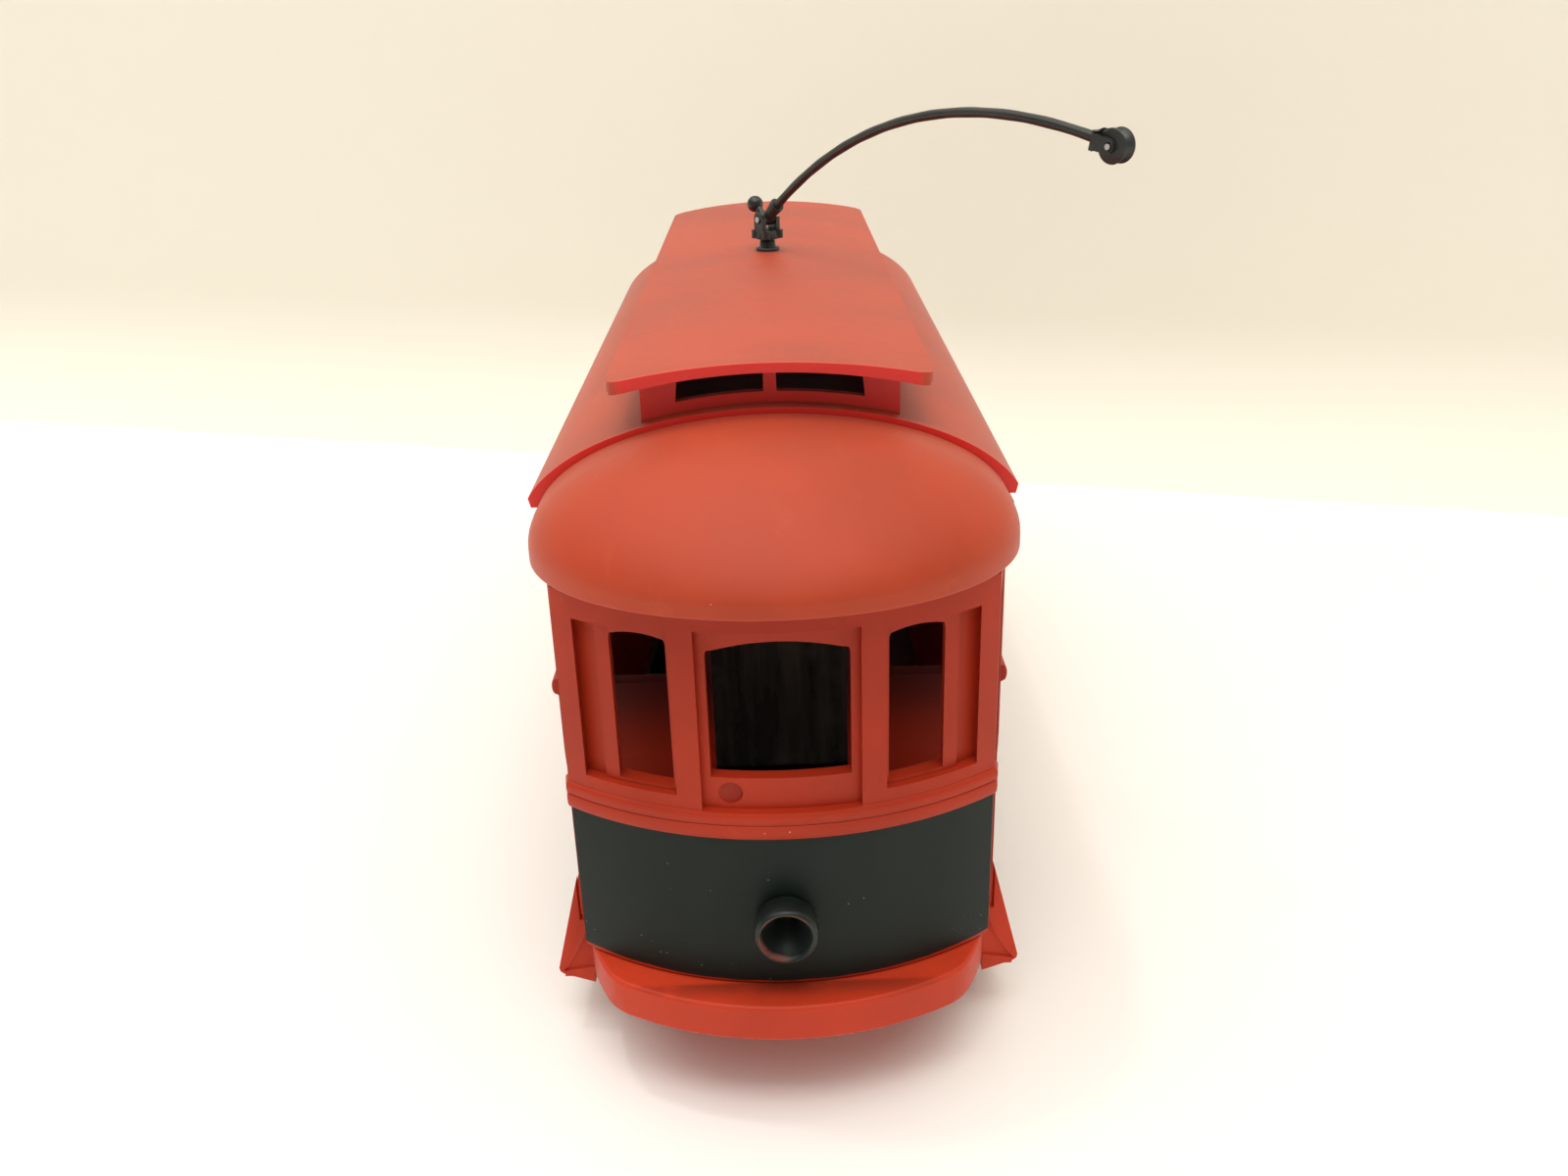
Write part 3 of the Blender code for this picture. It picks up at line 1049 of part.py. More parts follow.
def make_pole():
    start = Vector(bezier(0.0))
    aim = (Vector(POLE_RISE) - start).normalized()
    yoke_bar = bmesh.new()
    rod(yoke_bar, 0.55 * MM, pole_point(0, HINGE_Z, -CHEEK_IN + RUN),
        pole_point(0, HINGE_Z, CHEEK_IN - RUN), 16)
    yoke = from_bmesh("pole_yoke", yoke_bar, BLACK)
    sleeve = bmesh.new()
    rod(sleeve, 0.44 * MM, pole_point(0.1 * MM * aim.x, HINGE_Z + 0.1 * MM * aim.y),
        pole_point(SLEEVE_END * aim.x, HINGE_Z + SLEEVE_END * aim.y), 14, SLEEVE_R)
    join(yoke, from_bmesh("yoke_sleeve", sleeve, None))
    tail = bmesh.new()
    tail_end = pole_point(-TAIL_LENGTH, HINGE_Z + TAIL_RISE)
    rod(tail, 0.3 * MM, pole_point(-0.1 * MM, HINGE_Z), tail_end, 12)
    join(yoke, from_bmesh("yoke_tail", tail, None))
    knob = bmesh.new()
    bmesh.ops.create_uvsphere(knob, u_segments=10, v_segments=6, radius=TAIL_KNOB_R,
                              matrix=Matrix.Translation(tail_end))
    join(yoke, from_bmesh("yoke_knob", knob, None))
    bore = bmesh.new()
    rod(bore, HINGE_PIN_R + RUN, pole_point(0, HINGE_Z, -2 * MM), pole_point(0, HINGE_Z, 2 * MM), 12)
    cut(yoke, from_bmesh("yoke_bore", bore, None))
    points = []
    count = 20
    first = 0.0
    while math.dist(bezier(first), (0.0, HINGE_Z)) < SLEEVE_END + 0.1 * MM:
        first += 0.001
    for i in range(count + 1):
        points.append(pole_point(*bezier(first + (1 - first) * i / count)))
    tube("trolley_pole", points, POLE_R, BLACK, sides=2)


def make_harp():
    tip = Vector(POLE_TIP)
    aim = (tip - Vector(POLE_CREST)).normalized()

    def ahead(distance, across=0.0):
        spot = tip + aim * distance
        return pole_point(spot.x, spot.y, across)

    socket = bmesh.new()
    rod(socket, POLE_R + 0.05 * MM, ahead(0.1 * MM), ahead(0.55 * MM), 14, 0.8 * MM)
    harp = from_bmesh("pole_harp", socket, BLACK)
    lean = Matrix.Rotation(-math.atan2(aim.y, aim.x), 4, ACROSS)
    yoke = bmesh.new()
    middle = ahead(0.5 * MM)
    turn = Matrix.Translation(middle) @ lean @ Matrix.Rotation(POLE_TURN - math.pi / 2, 4, "Z")
    bmesh.ops.create_cube(yoke, size=1, matrix=turn @ Matrix.Diagonal((0.3 * MM, 2 * HARP_OUT, 1.3 * MM,
            1)))
    join(harp, from_bmesh("harp_bridge", yoke, None))
    wheel_at = TROLLEY_WHEEL_R + 0.72 * MM
    for s in (-1, 1):
        arm = bmesh.new()
        reach = wheel_at + 0.35 * MM - 0.4 * MM
        centre = ahead((wheel_at + 0.35 * MM + 0.4 * MM) / 2, s * (HARP_IN + HARP_OUT) / 2)
        place = Matrix.Translation(centre) @ lean @ Matrix.Rotation(POLE_TURN - math.pi / 2, 4, "Z")
        bmesh.ops.create_cube(arm, size=1,
                              matrix=place @ Matrix.Diagonal((reach, HARP_OUT - HARP_IN, 1.0 * MM, 1)))
        join(harp, from_bmesh(f"harp_arm_{s}", arm, None))
    bore = bmesh.new()
    rod(bore, HARP_PIN_R + RUN, ahead(wheel_at, -2 * MM), ahead(wheel_at, 2 * MM), 12)
    cut(harp, from_bmesh("harp_bore", bore, None))
    pin = bmesh.new()
    rod(pin, HARP_PIN_R, ahead(wheel_at, -HARP_OUT - 0.12 * MM), ahead(wheel_at, HARP_OUT + 0.12 * MM), 12)
    from_bmesh("harp_pin", pin, STEEL)
    half = TROLLEY_WHEEL_HALF
    bore_r = HARP_PIN_R + RUN
    groove = TROLLEY_WHEEL_R - 0.4 * MM
    profile = [(bore_r, half), (TROLLEY_WHEEL_R - 0.1 * MM, half), (TROLLEY_WHEEL_R, half - 0.1 * MM),
               (groove, 0.08 * MM),
               (groove, -0.08 * MM), (TROLLEY_WHEEL_R, -half + 0.1 * MM),
               (TROLLEY_WHEEL_R - 0.1 * MM, -half), (bore_r, -half)]
    wheel = turned("trolley_wheel", profile, "Z", ahead(wheel_at), BLACK, 20)
    wheel.rotation_euler = ACROSS.to_track_quat("Z", "Y").to_euler()


make_saloon()
make_vestibule()
make_main_roof()
make_deck_roof()
make_hoods()
make_platform()
make_steps()
make_headlights()
make_chassis()
make_keeper()
make_ballast()
make_side_frames()
make_wheels()
make_axle_gears()
make_worms()
make_motor()
make_pickups()
make_leads()
make_pole_base()
make_turret()
make_pole()
make_harp()
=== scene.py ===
import math

import bmesh
import bpy
from mathutils import Matrix, Vector


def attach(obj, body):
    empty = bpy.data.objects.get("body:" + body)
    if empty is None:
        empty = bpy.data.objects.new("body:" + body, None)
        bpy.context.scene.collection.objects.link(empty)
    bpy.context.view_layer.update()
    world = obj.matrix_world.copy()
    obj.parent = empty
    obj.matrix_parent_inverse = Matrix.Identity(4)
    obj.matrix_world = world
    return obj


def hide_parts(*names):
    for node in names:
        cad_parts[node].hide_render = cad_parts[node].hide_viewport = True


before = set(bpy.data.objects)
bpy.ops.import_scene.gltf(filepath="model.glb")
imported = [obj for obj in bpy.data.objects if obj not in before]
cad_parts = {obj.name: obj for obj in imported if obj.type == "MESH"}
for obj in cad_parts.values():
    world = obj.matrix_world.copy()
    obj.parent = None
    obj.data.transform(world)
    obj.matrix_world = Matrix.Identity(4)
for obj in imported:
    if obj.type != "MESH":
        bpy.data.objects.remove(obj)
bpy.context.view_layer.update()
mm = 0.001


# shader fields: a value in a node tree that can be added, scaled and mixed

class Field:
    def __init__(self, tree, socket):
        self.tree = tree
        self.socket = socket

    def make(self, kind, settings=None, sockets=None, out=0):
        node = self.tree.nodes.new(kind)
        for key, value in (settings or {}).items():
            setattr(node, key, value)
        for key, value in (sockets or {}).items():
            if isinstance(value, Field):
                self.tree.links.new(value.socket, node.inputs[key])
            else:
                node.inputs[key].default_value = value
        return Field(self.tree, node.outputs[out])

    def maths(self, operation, *others, clamp=False):
        values = {i: value for i, value in enumerate((self, *others))}
        return self.make("ShaderNodeMath", {"operation": operation, "use_clamp": clamp}, values)

    def __add__(self, other):
        return self.maths("ADD", other)

    def __sub__(self, other):
        return self.maths("SUBTRACT", other)

    def __mul__(self, other):
        return self.maths("MULTIPLY", other)

    def __truediv__(self, other):
        return self.maths("DIVIDE", other)

    def __rsub__(self, other):
        return (self * -1.0).maths("ADD", other)

    __radd__ = __add__
    __rmul__ = __mul__

    def above(self, edge, soft):
        return self.make("ShaderNodeMapRange", {"interpolation_type": "SMOOTHSTEP"},
                         {0: self, 1: edge - soft, 2: edge + soft, 3: 0.0, 4: 1.0})

    def below(self, edge, soft):
        return 1.0 - self.above(edge, soft)

    def mix(self, low, high):
        node = self.tree.nodes.new("ShaderNodeMix")
        node.data_type = "RGBA"
        for place, value in ((0, self), (6, low), (7, high)):
            if isinstance(value, Field):
                self.tree.links.new(value.socket, node.inputs[place])
            else:
                node.inputs[place].default_value = (*value, 1.0) if len(value) == 3 else value
        return Field(self.tree, node.outputs[2])


class Finish:
    def __init__(self, name):
        self.material = bpy.data.materials.new(name)
        self.material.use_nodes = True
        self.tree = self.material.node_tree
        self.shader = self.tree.nodes["Principled BSDF"]
        place = self.tree.nodes.new("ShaderNodeTexCoord")
        self.place = Field(self.tree, place.outputs["Object"])
        split = self.place.make("ShaderNodeSeparateXYZ", sockets={0: self.place})
        outs = split.socket.node.outputs
        self.x, self.y, self.z = (Field(self.tree, outs[i]) for i in range(3))

    def stretched(self, scale):
        return self.place.make("ShaderNodeMapping", {}, {0: self.place, 3: scale})

    def noise(self, scale, detail=3.0, rough=0.55, source=None):
        sockets = {0: source or self.place, "Scale": scale, "Detail": detail, "Roughness": rough}
        return self.place.make("ShaderNodeTexNoise", {}, sockets)

    def cells(self, scale, source=None):
        return self.place.make("ShaderNodeTexVoronoi", {}, {0: source or self.place, "Scale": scale})

    def feed(self, name, value):
        if isinstance(value, Field):
            self.tree.links.new(value.socket, self.shader.inputs[name])
        else:
            self.shader.inputs[name].default_value = value

    def bump(self, height, strength=0.2, distance=0.0001):
        made = height.make("ShaderNodeBump", {}, {"Strength": strength, "Distance": distance, "Height": height})
        self.feed("Normal", made)


# layers of the red mouldings' finish, some of them painted light and shade, in metres in the row's frame

# lip tone is the painted glow colour of those end faces
lip = {"soft": 0.00012, "tone": (0.72, 0.020, 0.018), "wallEnd": 0.0340, "wallFoot": 0.04318, "roofBow": 14.4}


def paintedGlowAndRubbedEnds(made, colour, rough, reach, wall=False):  # painted light and shade: end faces and the clerestory end wall are coloured a brighter, deeper red for how light falls on and glows through them; they are also rubbed smooth
    far = made.y.maths("ABSOLUTE")
    mask = far.above(reach, lip["soft"])
    if wall:
        height = made.z + made.x * made.x * lip["roofBow"]
        endWall = far.above(lip["wallEnd"], 0.00004) * height.above(lip["wallFoot"], 0.00006)
        mask = (mask + endWall).maths("MINIMUM", 1.0)
    return (mask * 0.8).mix(colour, lip["tone"]), rough - mask * 0.16


room = {"end": 0.03345, "half": 0.00745, "floor": 0.04255,
        "lid": 0.04583, "lidBow": 10.35, "tone": (0.03, 0.004, 0.003)}


def unlitRoom(made, colour, rough, lid=False):  # the room behind the deck lights
    inside = made.y.maths("ABSOLUTE").below(room["end"], 0.00003)
    inside = inside * made.x.maths("ABSOLUTE").below(room["half"], 0.00003)
    if lid:
        face = (made.z + made.x * made.x * room["lidBow"]).below(room["lid"], 0.00005)
    else:
        face = made.z.above(room["floor"], 0.00002)
    return (inside * face * 0.93).mix(colour, room["tone"]), rough


bulkhead = {"face": 0.0334, "half": 0.0142, "low": 0.0210,
            "fade": 0.0035, "high": 0.034, "tone": (0.05, 0.006, 0.005)}


def shadedBulkhead(made, colour, rough):  # the partition darkens under the roof
    b = bulkhead
    mask = made.y.maths("ABSOLUTE").above(b["face"], 0.0001) * made.x.maths("ABSOLUTE").below(b["half"], 0.0001)
    mask = mask * made.z.above(b["low"], b["fade"]) * made.z.below(b["high"], 0.0002)
    return (mask * 0.92).mix(colour, b["tone"]), rough


def darkSpecks(made, colour, rough, spots):
    for spot in spots:
        sockets = {0: made.place, 1: spot}
        gap = made.place.make("ShaderNodeVectorMath", {"operation": "DISTANCE"}, sockets, out=1)
        colour = gap.below(0.00016, 0.00008).mix(colour, (0.04, 0.012, 0.01))
    return colour, rough


ledge = {"back": 0.04735, "front": 0.0482, "top": 0.0088, "half": 0.00008, "tone": (0.05, 0.012, 0.008)}


def darkStripAtDashFoot(made, colour, rough):  # a ragged darker strip on the ledge top along the foot of the dash
    far = made.y.maths("ABSOLUTE")
    mask = far.above(ledge["back"], 0.0002) * far.below(ledge["front"], 0.0009)
    mask = mask * made.z.above(ledge["top"], 0.0001)
    near = (made.x * made.x).below(ledge["half"], 0.00006) * made.noise(500.0, 3.0).above(0.34, 0.2)
    return (mask * near * 0.55).mix(colour, ledge["tone"]), rough


pinMark = {"x": -0.00305, "z": 0.02275, "r": 0.0007, "tone": (0.20, 0.012, 0.006)}


# painted shade: the disc of the shallow ejector-pin recess is coloured darker
def shadedEjectorRecess(made, colour, rough):
    side = made.x - pinMark["x"]
    height = made.z - pinMark["z"]
    gap = (side * side + height * height).maths("SQRT")
    mask = gap.below(pinMark["r"], 0.00012) * made.y.below(-0.044, 0.0001)
    return (mask * 0.5).mix(colour, pinMark["tone"]), rough


dash = {"low": 0.00935, "high": 0.01992, "front": 0.04285, "ragged": 0.00022, "bow": -0.9,
        "dark": (0.003, 0.007, 0.005), "tone": (0.008, 0.014, 0.011), "nick": (0.25, 0.26, 0.24)}


def blackDash(made, colour, rough):
    wave = made.noise(420.0, 3.0) * dash["ragged"]
    edge = made.x * made.x * dash["bow"] + wave  # the painter's lower edge runs a little uneven
    low = (made.z + edge).above(dash["low"], 0.00006)
    high = (made.z + wave * 0.6).below(dash["high"], 0.00005)
    mask = low * high * made.y.maths("ABSOLUTE").above(dash["front"], 0.00006)
    streak = made.noise(60.0, 3.0, 0.6, made.stretched((1.0, 1.0, 0.3)))
    black = streak.above(0.5, 0.3).mix(dash["dark"], dash["tone"])
    nicks = made.cells(1500.0).below(0.07, 0.02) * made.noise(230.0, 2.0).above(0.58, 0.03)
    return mask.mix(colour, (nicks * 0.55).mix(black, dash["nick"])), rough + mask * 0.04


def redPlastic(name, tone=(0.46, 0.034, 0.010), sheen=0.38, gloss=0.26, bloom=0.0, depth=0.16, layers=()):
    made = Finish(name)
    soft = made.noise(90.0, 2.0)
    fine = made.noise(1400.0, 4.0, 0.6)
    scuffs = made.noise(300.0, 5.0, 0.7, made.stretched((1.0, 0.25, 1.0)))
    dark = tuple(v * 0.82 for v in tone)
    pale = (min(1.0, tone[0] * 1.12), tone[1] * 1.5, tone[2] * 1.7)
    colour = soft.above(0.5, 0.22).mix(dark, tone)
    colour = (scuffs.above(0.66, 0.07) * 0.35).mix(colour, pale)
    dust = made.cells(900.0).below(0.05, 0.02) * made.noise(160.0, 2.0).above(0.62, 0.03)
    colour = (dust * 0.6).mix(colour, (0.72, 0.42, 0.36))
    rough = sheen + soft * 0.08 + fine * 0.08 + dust * 0.2
    for layer, sizes in layers:
        colour, rough = layer(made, colour, rough, **sizes)
    made.feed("Base Color", colour)
    made.feed("Roughness", rough)
    made.feed("IOR", 1.46)
    made.feed("Specular IOR Level", gloss)
    made.feed("Sheen Weight", bloom)
    made.feed("Sheen Roughness", 0.45)
    made.feed("Subsurface Weight", depth)
    made.feed("Subsurface Radius", (0.0024, 0.0003, 0.0002))
    made.feed("Subsurface Scale", 1.0)
    made.bump(fine * 0.35 + soft * 0.8, 0.12, 0.00012)
    return made.material


def blackPlastic(name, tone=(0.018, 0.020, 0.018), sheen=0.3):
    made = Finish(name)
    soft = made.noise(240.0, 3.0)
    fine = made.noise(2600.0, 3.0)
    patches = made.noise(400.0).above(0.6, 0.03)
    lint = made.cells(1800.0, made.stretched((1.0, 1.0, 0.4))).below(0.06, 0.02) * patches
    colour = soft.above(0.5, 0.25).mix(tuple(v * 0.7 for v in tone), tuple(v * 1.5 for v in tone))
    colour = (lint * 0.4).mix(colour, (0.3, 0.3, 0.28))
    made.feed("Base Color", colour)
    made.feed("Roughness", sheen + soft * 0.14 + lint * 0.2)
    made.bump(fine * 0.4 + soft, 0.12, 0.0001)
    return made.material


lens = {"z": 0.01395, "mouth": 0.04905, "rimIn": 0.00148, "rimOut": 0.00172, "bore": 0.0015}


def lampFinish(name):
    made = Finish(name)
    soft = made.noise(300.0, 3.0)
    height = made.z - lens["z"]
    reach = (made.x * made.x + height * height).maths("SQRT")
    front = made.y.maths("ABSOLUTE").above(lens["mouth"], 0.00008)
    ring = reach.above(lens["rimIn"], 0.00004) * reach.below(lens["rimOut"], 0.00005) * front
    topSide = height.above(0.0009, 0.0004)
    lowLeft = (made.x * made.y.maths("SIGN") - height).above(0.0016, 0.0004)  # where fingers lift the car
    rubbed = made.noise(1300.0, 4.0).above(0.38, 0.07) * ring * (topSide + lowLeft * 0.8).maths("MINIMUM", 1.0)
    colour = soft.above(0.5, 0.25).mix((0.006, 0.009, 0.008), (0.016, 0.022, 0.020))
    colour = (rubbed * 0.75).mix(colour, (0.22, 0.055, 0.035))
    inner = reach.below(lens["bore"], 0.0001) * front
    made.feed("Base Color", colour)
    made.feed("Roughness", 0.32 - inner * 0.26 + soft * 0.08 + rubbed * 0.2)
    made.feed("Specular IOR Level", 0.34)
    made.bump(made.noise(2600.0, 3.0) * 0.4 + soft, 0.1, 0.00006)
    return made.material


# painted light: the black-painted weight is coloured a grey-green far lighter than black paint, with vertical
# streaks standing in for reflections, so it reads as lit behind the windows
def castFinish(name):
    made = Finish(name)
    reflectionStreaks = made.noise(520.0, 4.0, 0.6, made.stretched((1.0, 1.0, 0.12)))
    cloud = made.noise(210.0, 3.0)
    grain = made.noise(1900.0, 3.0)
    colour = reflectionStreaks.above(0.52, 0.14).mix((0.09, 0.11, 0.09), (0.20, 0.24, 0.20))
    colour = (cloud.above(0.6, 0.08) * 0.5).mix(colour, (0.22, 0.27, 0.24))
    made.feed("Base Color", colour)
    made.feed("Roughness", 0.16 + reflectionStreaks * 0.16 + cloud * 0.1)
    made.bump(grain * 0.5 + reflectionStreaks, 0.15, 0.0001)
    return made.material


def metal(name, tone, sheen=0.28, grain=(1.0, 1.0, 1.0), tarnish=0.35):
    made = Finish(name)
    brushed = made.noise(2200.0, 3.0, 0.6, made.stretched(grain))
    stain = made.noise(260.0, 4.0)
    colour = (stain.above(0.52, 0.2) * tarnish).mix(tone, tuple(v * 0.45 for v in tone))
    made.feed("Base Color", colour)
    made.feed("Metallic", 1.0 - stain.above(0.72, 0.05) * 0.3)
    made.feed("Roughness", sheen + stain * 0.16 + brushed * 0.12)
    made.bump(brushed, 0.15, 0.00005)
    return made.material


def matte(name, tone, sheen=0.6, scale=900.0):
    made = Finish(name)
    grain = made.noise(scale, 4.0)
    cloud = made.noise(scale / 8.0, 2.0)
    colour = grain.above(0.5, 0.3).mix(tuple(v * 0.78 for v in tone), tone)
    colour = (cloud.above(0.6, 0.12) * 0.3).mix(colour, tuple(min(1.0, v * 1.35) for v in tone))
    made.feed("Base Color", colour)
    made.feed("Roughness", sheen + grain * 0.12)
    made.bump(grain, 0.25, 0.00008)
    return made.material


# painted sheen: the roof and hood tone is paler than the body's, standing in for the light on the top surfaces
paintedSheenRoofTone = (0.48, 0.050, 0.013)
lintSpots = ((0.0023, -0.0214, 0.0459), (0.0034, -0.0306, 0.0458))
# painted light: platforms and steps are a brighter red than the cab, standing in for light bounced onto the
# lower front parts
red = redPlastic("moulded_red_painted_bounce_light", tone=(0.58, 0.046, 0.014), layers=((darkStripAtDashFoot, {}),))
redPainted = redPlastic("moulded_red_painted_dash", depth=0.0, layers=((shadedEjectorRecess, {}), (blackDash, {})))
redRoof = redPlastic("roof_red", paintedSheenRoofTone, sheen=0.44, gloss=0.40, bloom=0.12,
                     layers=((paintedGlowAndRubbedEnds, {"reach": 0.03500, "wall": True}), (unlitRoom, {})))
redHood = redPlastic("hood_red", paintedSheenRoofTone, sheen=0.46, gloss=0.38, bloom=0.10)
# painted sheen: the deck's tone is paler than the body's for the same light on top
redDeck = redPlastic("deck_red", tone=(0.48, 0.048, 0.013), sheen=0.44, gloss=0.40, bloom=0.10,
                     layers=((paintedGlowAndRubbedEnds, {"reach": 0.03598}), (unlitRoom, {"lid": True}),
                             (darkSpecks, {"spots": lintSpots})))
redBody = redPlastic("body_red", layers=((shadedBulkhead, {}),))
black = blackPlastic("moulded_black")
lampBlack = lampFinish("lamp_black")
castBlack = castFinish("cast_weight_black")
steel = metal("turned_steel", (0.55, 0.54, 0.52), grain=(0.1, 1.0, 1.0))
plated = metal("plated_steel", (0.60, 0.60, 0.60), 0.32)
brass = metal("machined_brass", (0.72, 0.50, 0.20), 0.24, (1.0, 0.1, 1.0))
bronze = metal("rolled_bronze", (0.66, 0.36, 0.20), 0.3)
coreMetal = metal("armature_laminations", (0.42, 0.26, 0.18), 0.4, (1.0, 0.02, 1.0))
nylon = matte("natural_nylon", (0.62, 0.60, 0.50), 0.45)
ferrite = matte("sintered_ferrite", (0.06, 0.06, 0.065), 0.7)
wireRed = matte("red_sleeving", (0.45, 0.03, 0.02), 0.45)
wireBlack = matte("black_sleeving", (0.02, 0.02, 0.02), 0.45)
print("finishes made")


# shapes: every helper takes millimetres in the row's frame

def placed(name, mesh, material=None):
    made = bpy.data.objects.new(name, mesh)
    bpy.context.scene.collection.objects.link(made)
    if material:
        mesh.materials.append(material)
    return made


def solid(name, verts, faces, material, weld=True):
    bm = bmesh.new()
    made = [bm.verts.new(Vector(v) * mm) for v in verts]
    for face in faces:
        bm.faces.new([made[i] for i in face])
    return fromBm(name, bm, material, weld)


def fromBm(name, bm, material, weld=True):
    if weld:
        bmesh.ops.remove_doubles(bm, verts=bm.verts, dist=2e-7)
    bmesh.ops.recalc_face_normals(bm, faces=bm.faces)
    if bm.calc_volume(signed=True) < 0:
        bmesh.ops.reverse_faces(bm, faces=bm.faces)
    mesh = bpy.data.meshes.new(name)
    bm.to_mesh(mesh)
    bm.free()
    return placed(name, mesh, material)


def loft(name, rings, material=None, closed=False):
    verts = [p for ring in rings for p in ring]
    n = len(rings[0])
    faces = []
    pairs = list(zip(range(len(rings)), range(1, len(rings))))
    if closed:
        pairs.append((len(rings) - 1, 0))
    for a, b in pairs:
        for i in range(n):
            k = (i + 1) % n
            faces.append((a * n + i, a * n + k, b * n + k, b * n + i))
    if not closed:
        faces.append(tuple(range(n))[::-1])
        faces.append(tuple((len(rings) - 1) * n + i for i in range(n)))
    return solid(name, verts, faces, material)


def prism(name, outline, axis, low, high, material=None):
    order = {"X": (2, 0, 1), "Y": (0, 2, 1), "Z": (0, 1, 2)}[axis]
    rings = [[tuple((u, v, w)[i] for i in order) for u, v in outline] for w in (low, high)]
    return loft(name, rings, material)


def boxes(name, corners, material=None):
    bm = bmesh.new()
    for low, high in corners:
        low, high = Vector(low) * mm, Vector(high) * mm
        place = Matrix.Translation((low + high) / 2) @ Matrix.Diagonal((*(high - low), 1))
        bmesh.ops.create_cube(bm, size=1, matrix=place)
    return fromBm(name, bm, material, False)


def rod(name, start, end, radius, farRadius=None, steps=32, material=None):
    start, end = Vector(start) * mm, Vector(end) * mm
    place = Matrix.Translation((start + end) / 2) @ (end - start).to_track_quat("Z", "Y").to_matrix().to_4x4()
    bm = bmesh.new()
    bmesh.ops.create_cone(bm, cap_ends=True, segments=steps, radius1=radius * mm,
                          radius2=(radius if farRadius is None else farRadius) * mm,
                          depth=(end - start).length, matrix=place)
    return fromBm(name, bm, material, False)


def ball(name, centre, radius, material=None, squash=(1, 1, 1)):
    bm = bmesh.new()
    place = Matrix.Translation(Vector(centre) * mm) @ Matrix.Diagonal((*squash, 1))
    bmesh.ops.create_uvsphere(bm, u_segments=32, v_segments=20, radius=radius * mm, matrix=place)
    return fromBm(name, bm, material, False)


def lathe(name, profile, start, axis, material=None, steps=64):
    axis = Vector(axis).normalized()
    side = axis.orthogonal().normalized()
    other = axis.cross(side)
    rings = []
    for i in range(steps):
        a = 2 * math.pi * i / steps
        out = side * math.cos(a) + other * math.sin(a)
        rings.append([tuple(Vector(start) + axis * h + out * r) for r, h in profile])
    verts = [p for ring in rings for p in ring]
    n = len(profile)
    faces = []
    whole = profile[0][0] > 0
    for a in range(steps):
        b = (a + 1) % steps
        for i in range(n if whole else n - 1):
            k = (i + 1) % n
            quad = [a * n + i, a * n + k, b * n + k, b * n + i]
            if profile[i][0] == 0:
                quad.pop(0)
            if profile[k][0] == 0:
                quad = [v for v in quad if v != b * n + k]
            faces.append(tuple(quad))
    return solid(name, verts, faces, material)


def baked(obj):
    bpy.context.view_layer.update()
    graph = bpy.context.evaluated_depsgraph_get()
    mesh = bpy.data.meshes.new_from_object(obj.evaluated_get(graph))
    obj.modifiers.clear()
    old = obj.data
    obj.data = mesh
    mesh.name = obj.name
    if old.users == 0:
        bpy.data.meshes.remove(old)
    return obj


def combine(obj, tools, operation="DIFFERENCE"):
    for tool in tools:
        made = obj.modifiers.new("cut", "BOOLEAN")
        made.operation = operation
        made.solver = "EXACT"
        made.object = tool
    baked(obj)
    for tool in tools:
        bpy.data.objects.remove(tool)
    return obj


def softened(obj, width, angle=32, steps=2):
    bm = bmesh.new()
    bm.from_mesh(obj.data)
    bmesh.ops.remove_doubles(bm, verts=bm.verts, dist=1e-6)
    bmesh.ops.dissolve_limit(bm, angle_limit=math.radians(0.6), verts=bm.verts, edges=bm.edges)
    bm.to_mesh(obj.data)
    bm.free()
    edge = obj.modifiers.new("edge", "BEVEL")
    edge.width = width * mm
    edge.segments = steps
    edge.limit_method = "ANGLE"
    edge.angle_limit = math.radians(angle)
    edge.miter_outer = "MITER_ARC"
    baked(obj)
    smooth(obj, 50)
    even = obj.modifiers.new("even", "WEIGHTED_NORMAL")
    even.keep_sharp = True
    return baked(obj)


def smooth(obj, angle=40):
    obj.data.shade_smooth()
    obj.data.set_sharp_from_angle(angle=math.radians(angle))
    return obj


def turnedRound(name, source):
    bm = bmesh.new()
    bm.from_mesh(source.data)
    bm.transform(Matrix.Rotation(math.pi, 4, "Z"))
    mesh = source.data.copy()
    bm.to_mesh(mesh)
    bm.free()
    return placed(name, mesh)


def mirrored(name, source):
    mesh = source.data.copy()
    bm = bmesh.new()
    bm.from_mesh(mesh)
    bm.transform(Matrix.Scale(-1, 4, (1, 0, 0)))
    bmesh.ops.reverse_faces(bm, faces=bm.faces)
    bm.to_mesh(mesh)
    bm.free()
    return placed(name, mesh)


def carry(obj, body, nodes):
    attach(obj, body)
    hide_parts(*nodes)
    return obj


def arc(cx, cy, r, start, end, steps):
    turn = [math.radians(start + (end - start) * i / steps) for i in range(steps + 1)]
    return [(cx + r * math.cos(a), cy + r * math.sin(a)) for a in turn]


def arched(left, right, low, high, rise, corner=0.25, steps=14):
    half, mid = (right - left) / 2, (right + left) / 2
    head = []
    for i in range(steps + 1):
        u = 2 * i / steps - 1
        head.append((mid + half * u, high + rise * (1 - u * u)))
    head[0] = (left, high - corner)
    head.insert(1, (left + corner * 0.35, high + rise * 0.12))
    head[-1] = (right, high - corner)
    head.insert(-1, (right - corner * 0.35, high + rise * 0.12))
    return [(left, low), *head, (right, low)]


# saloon

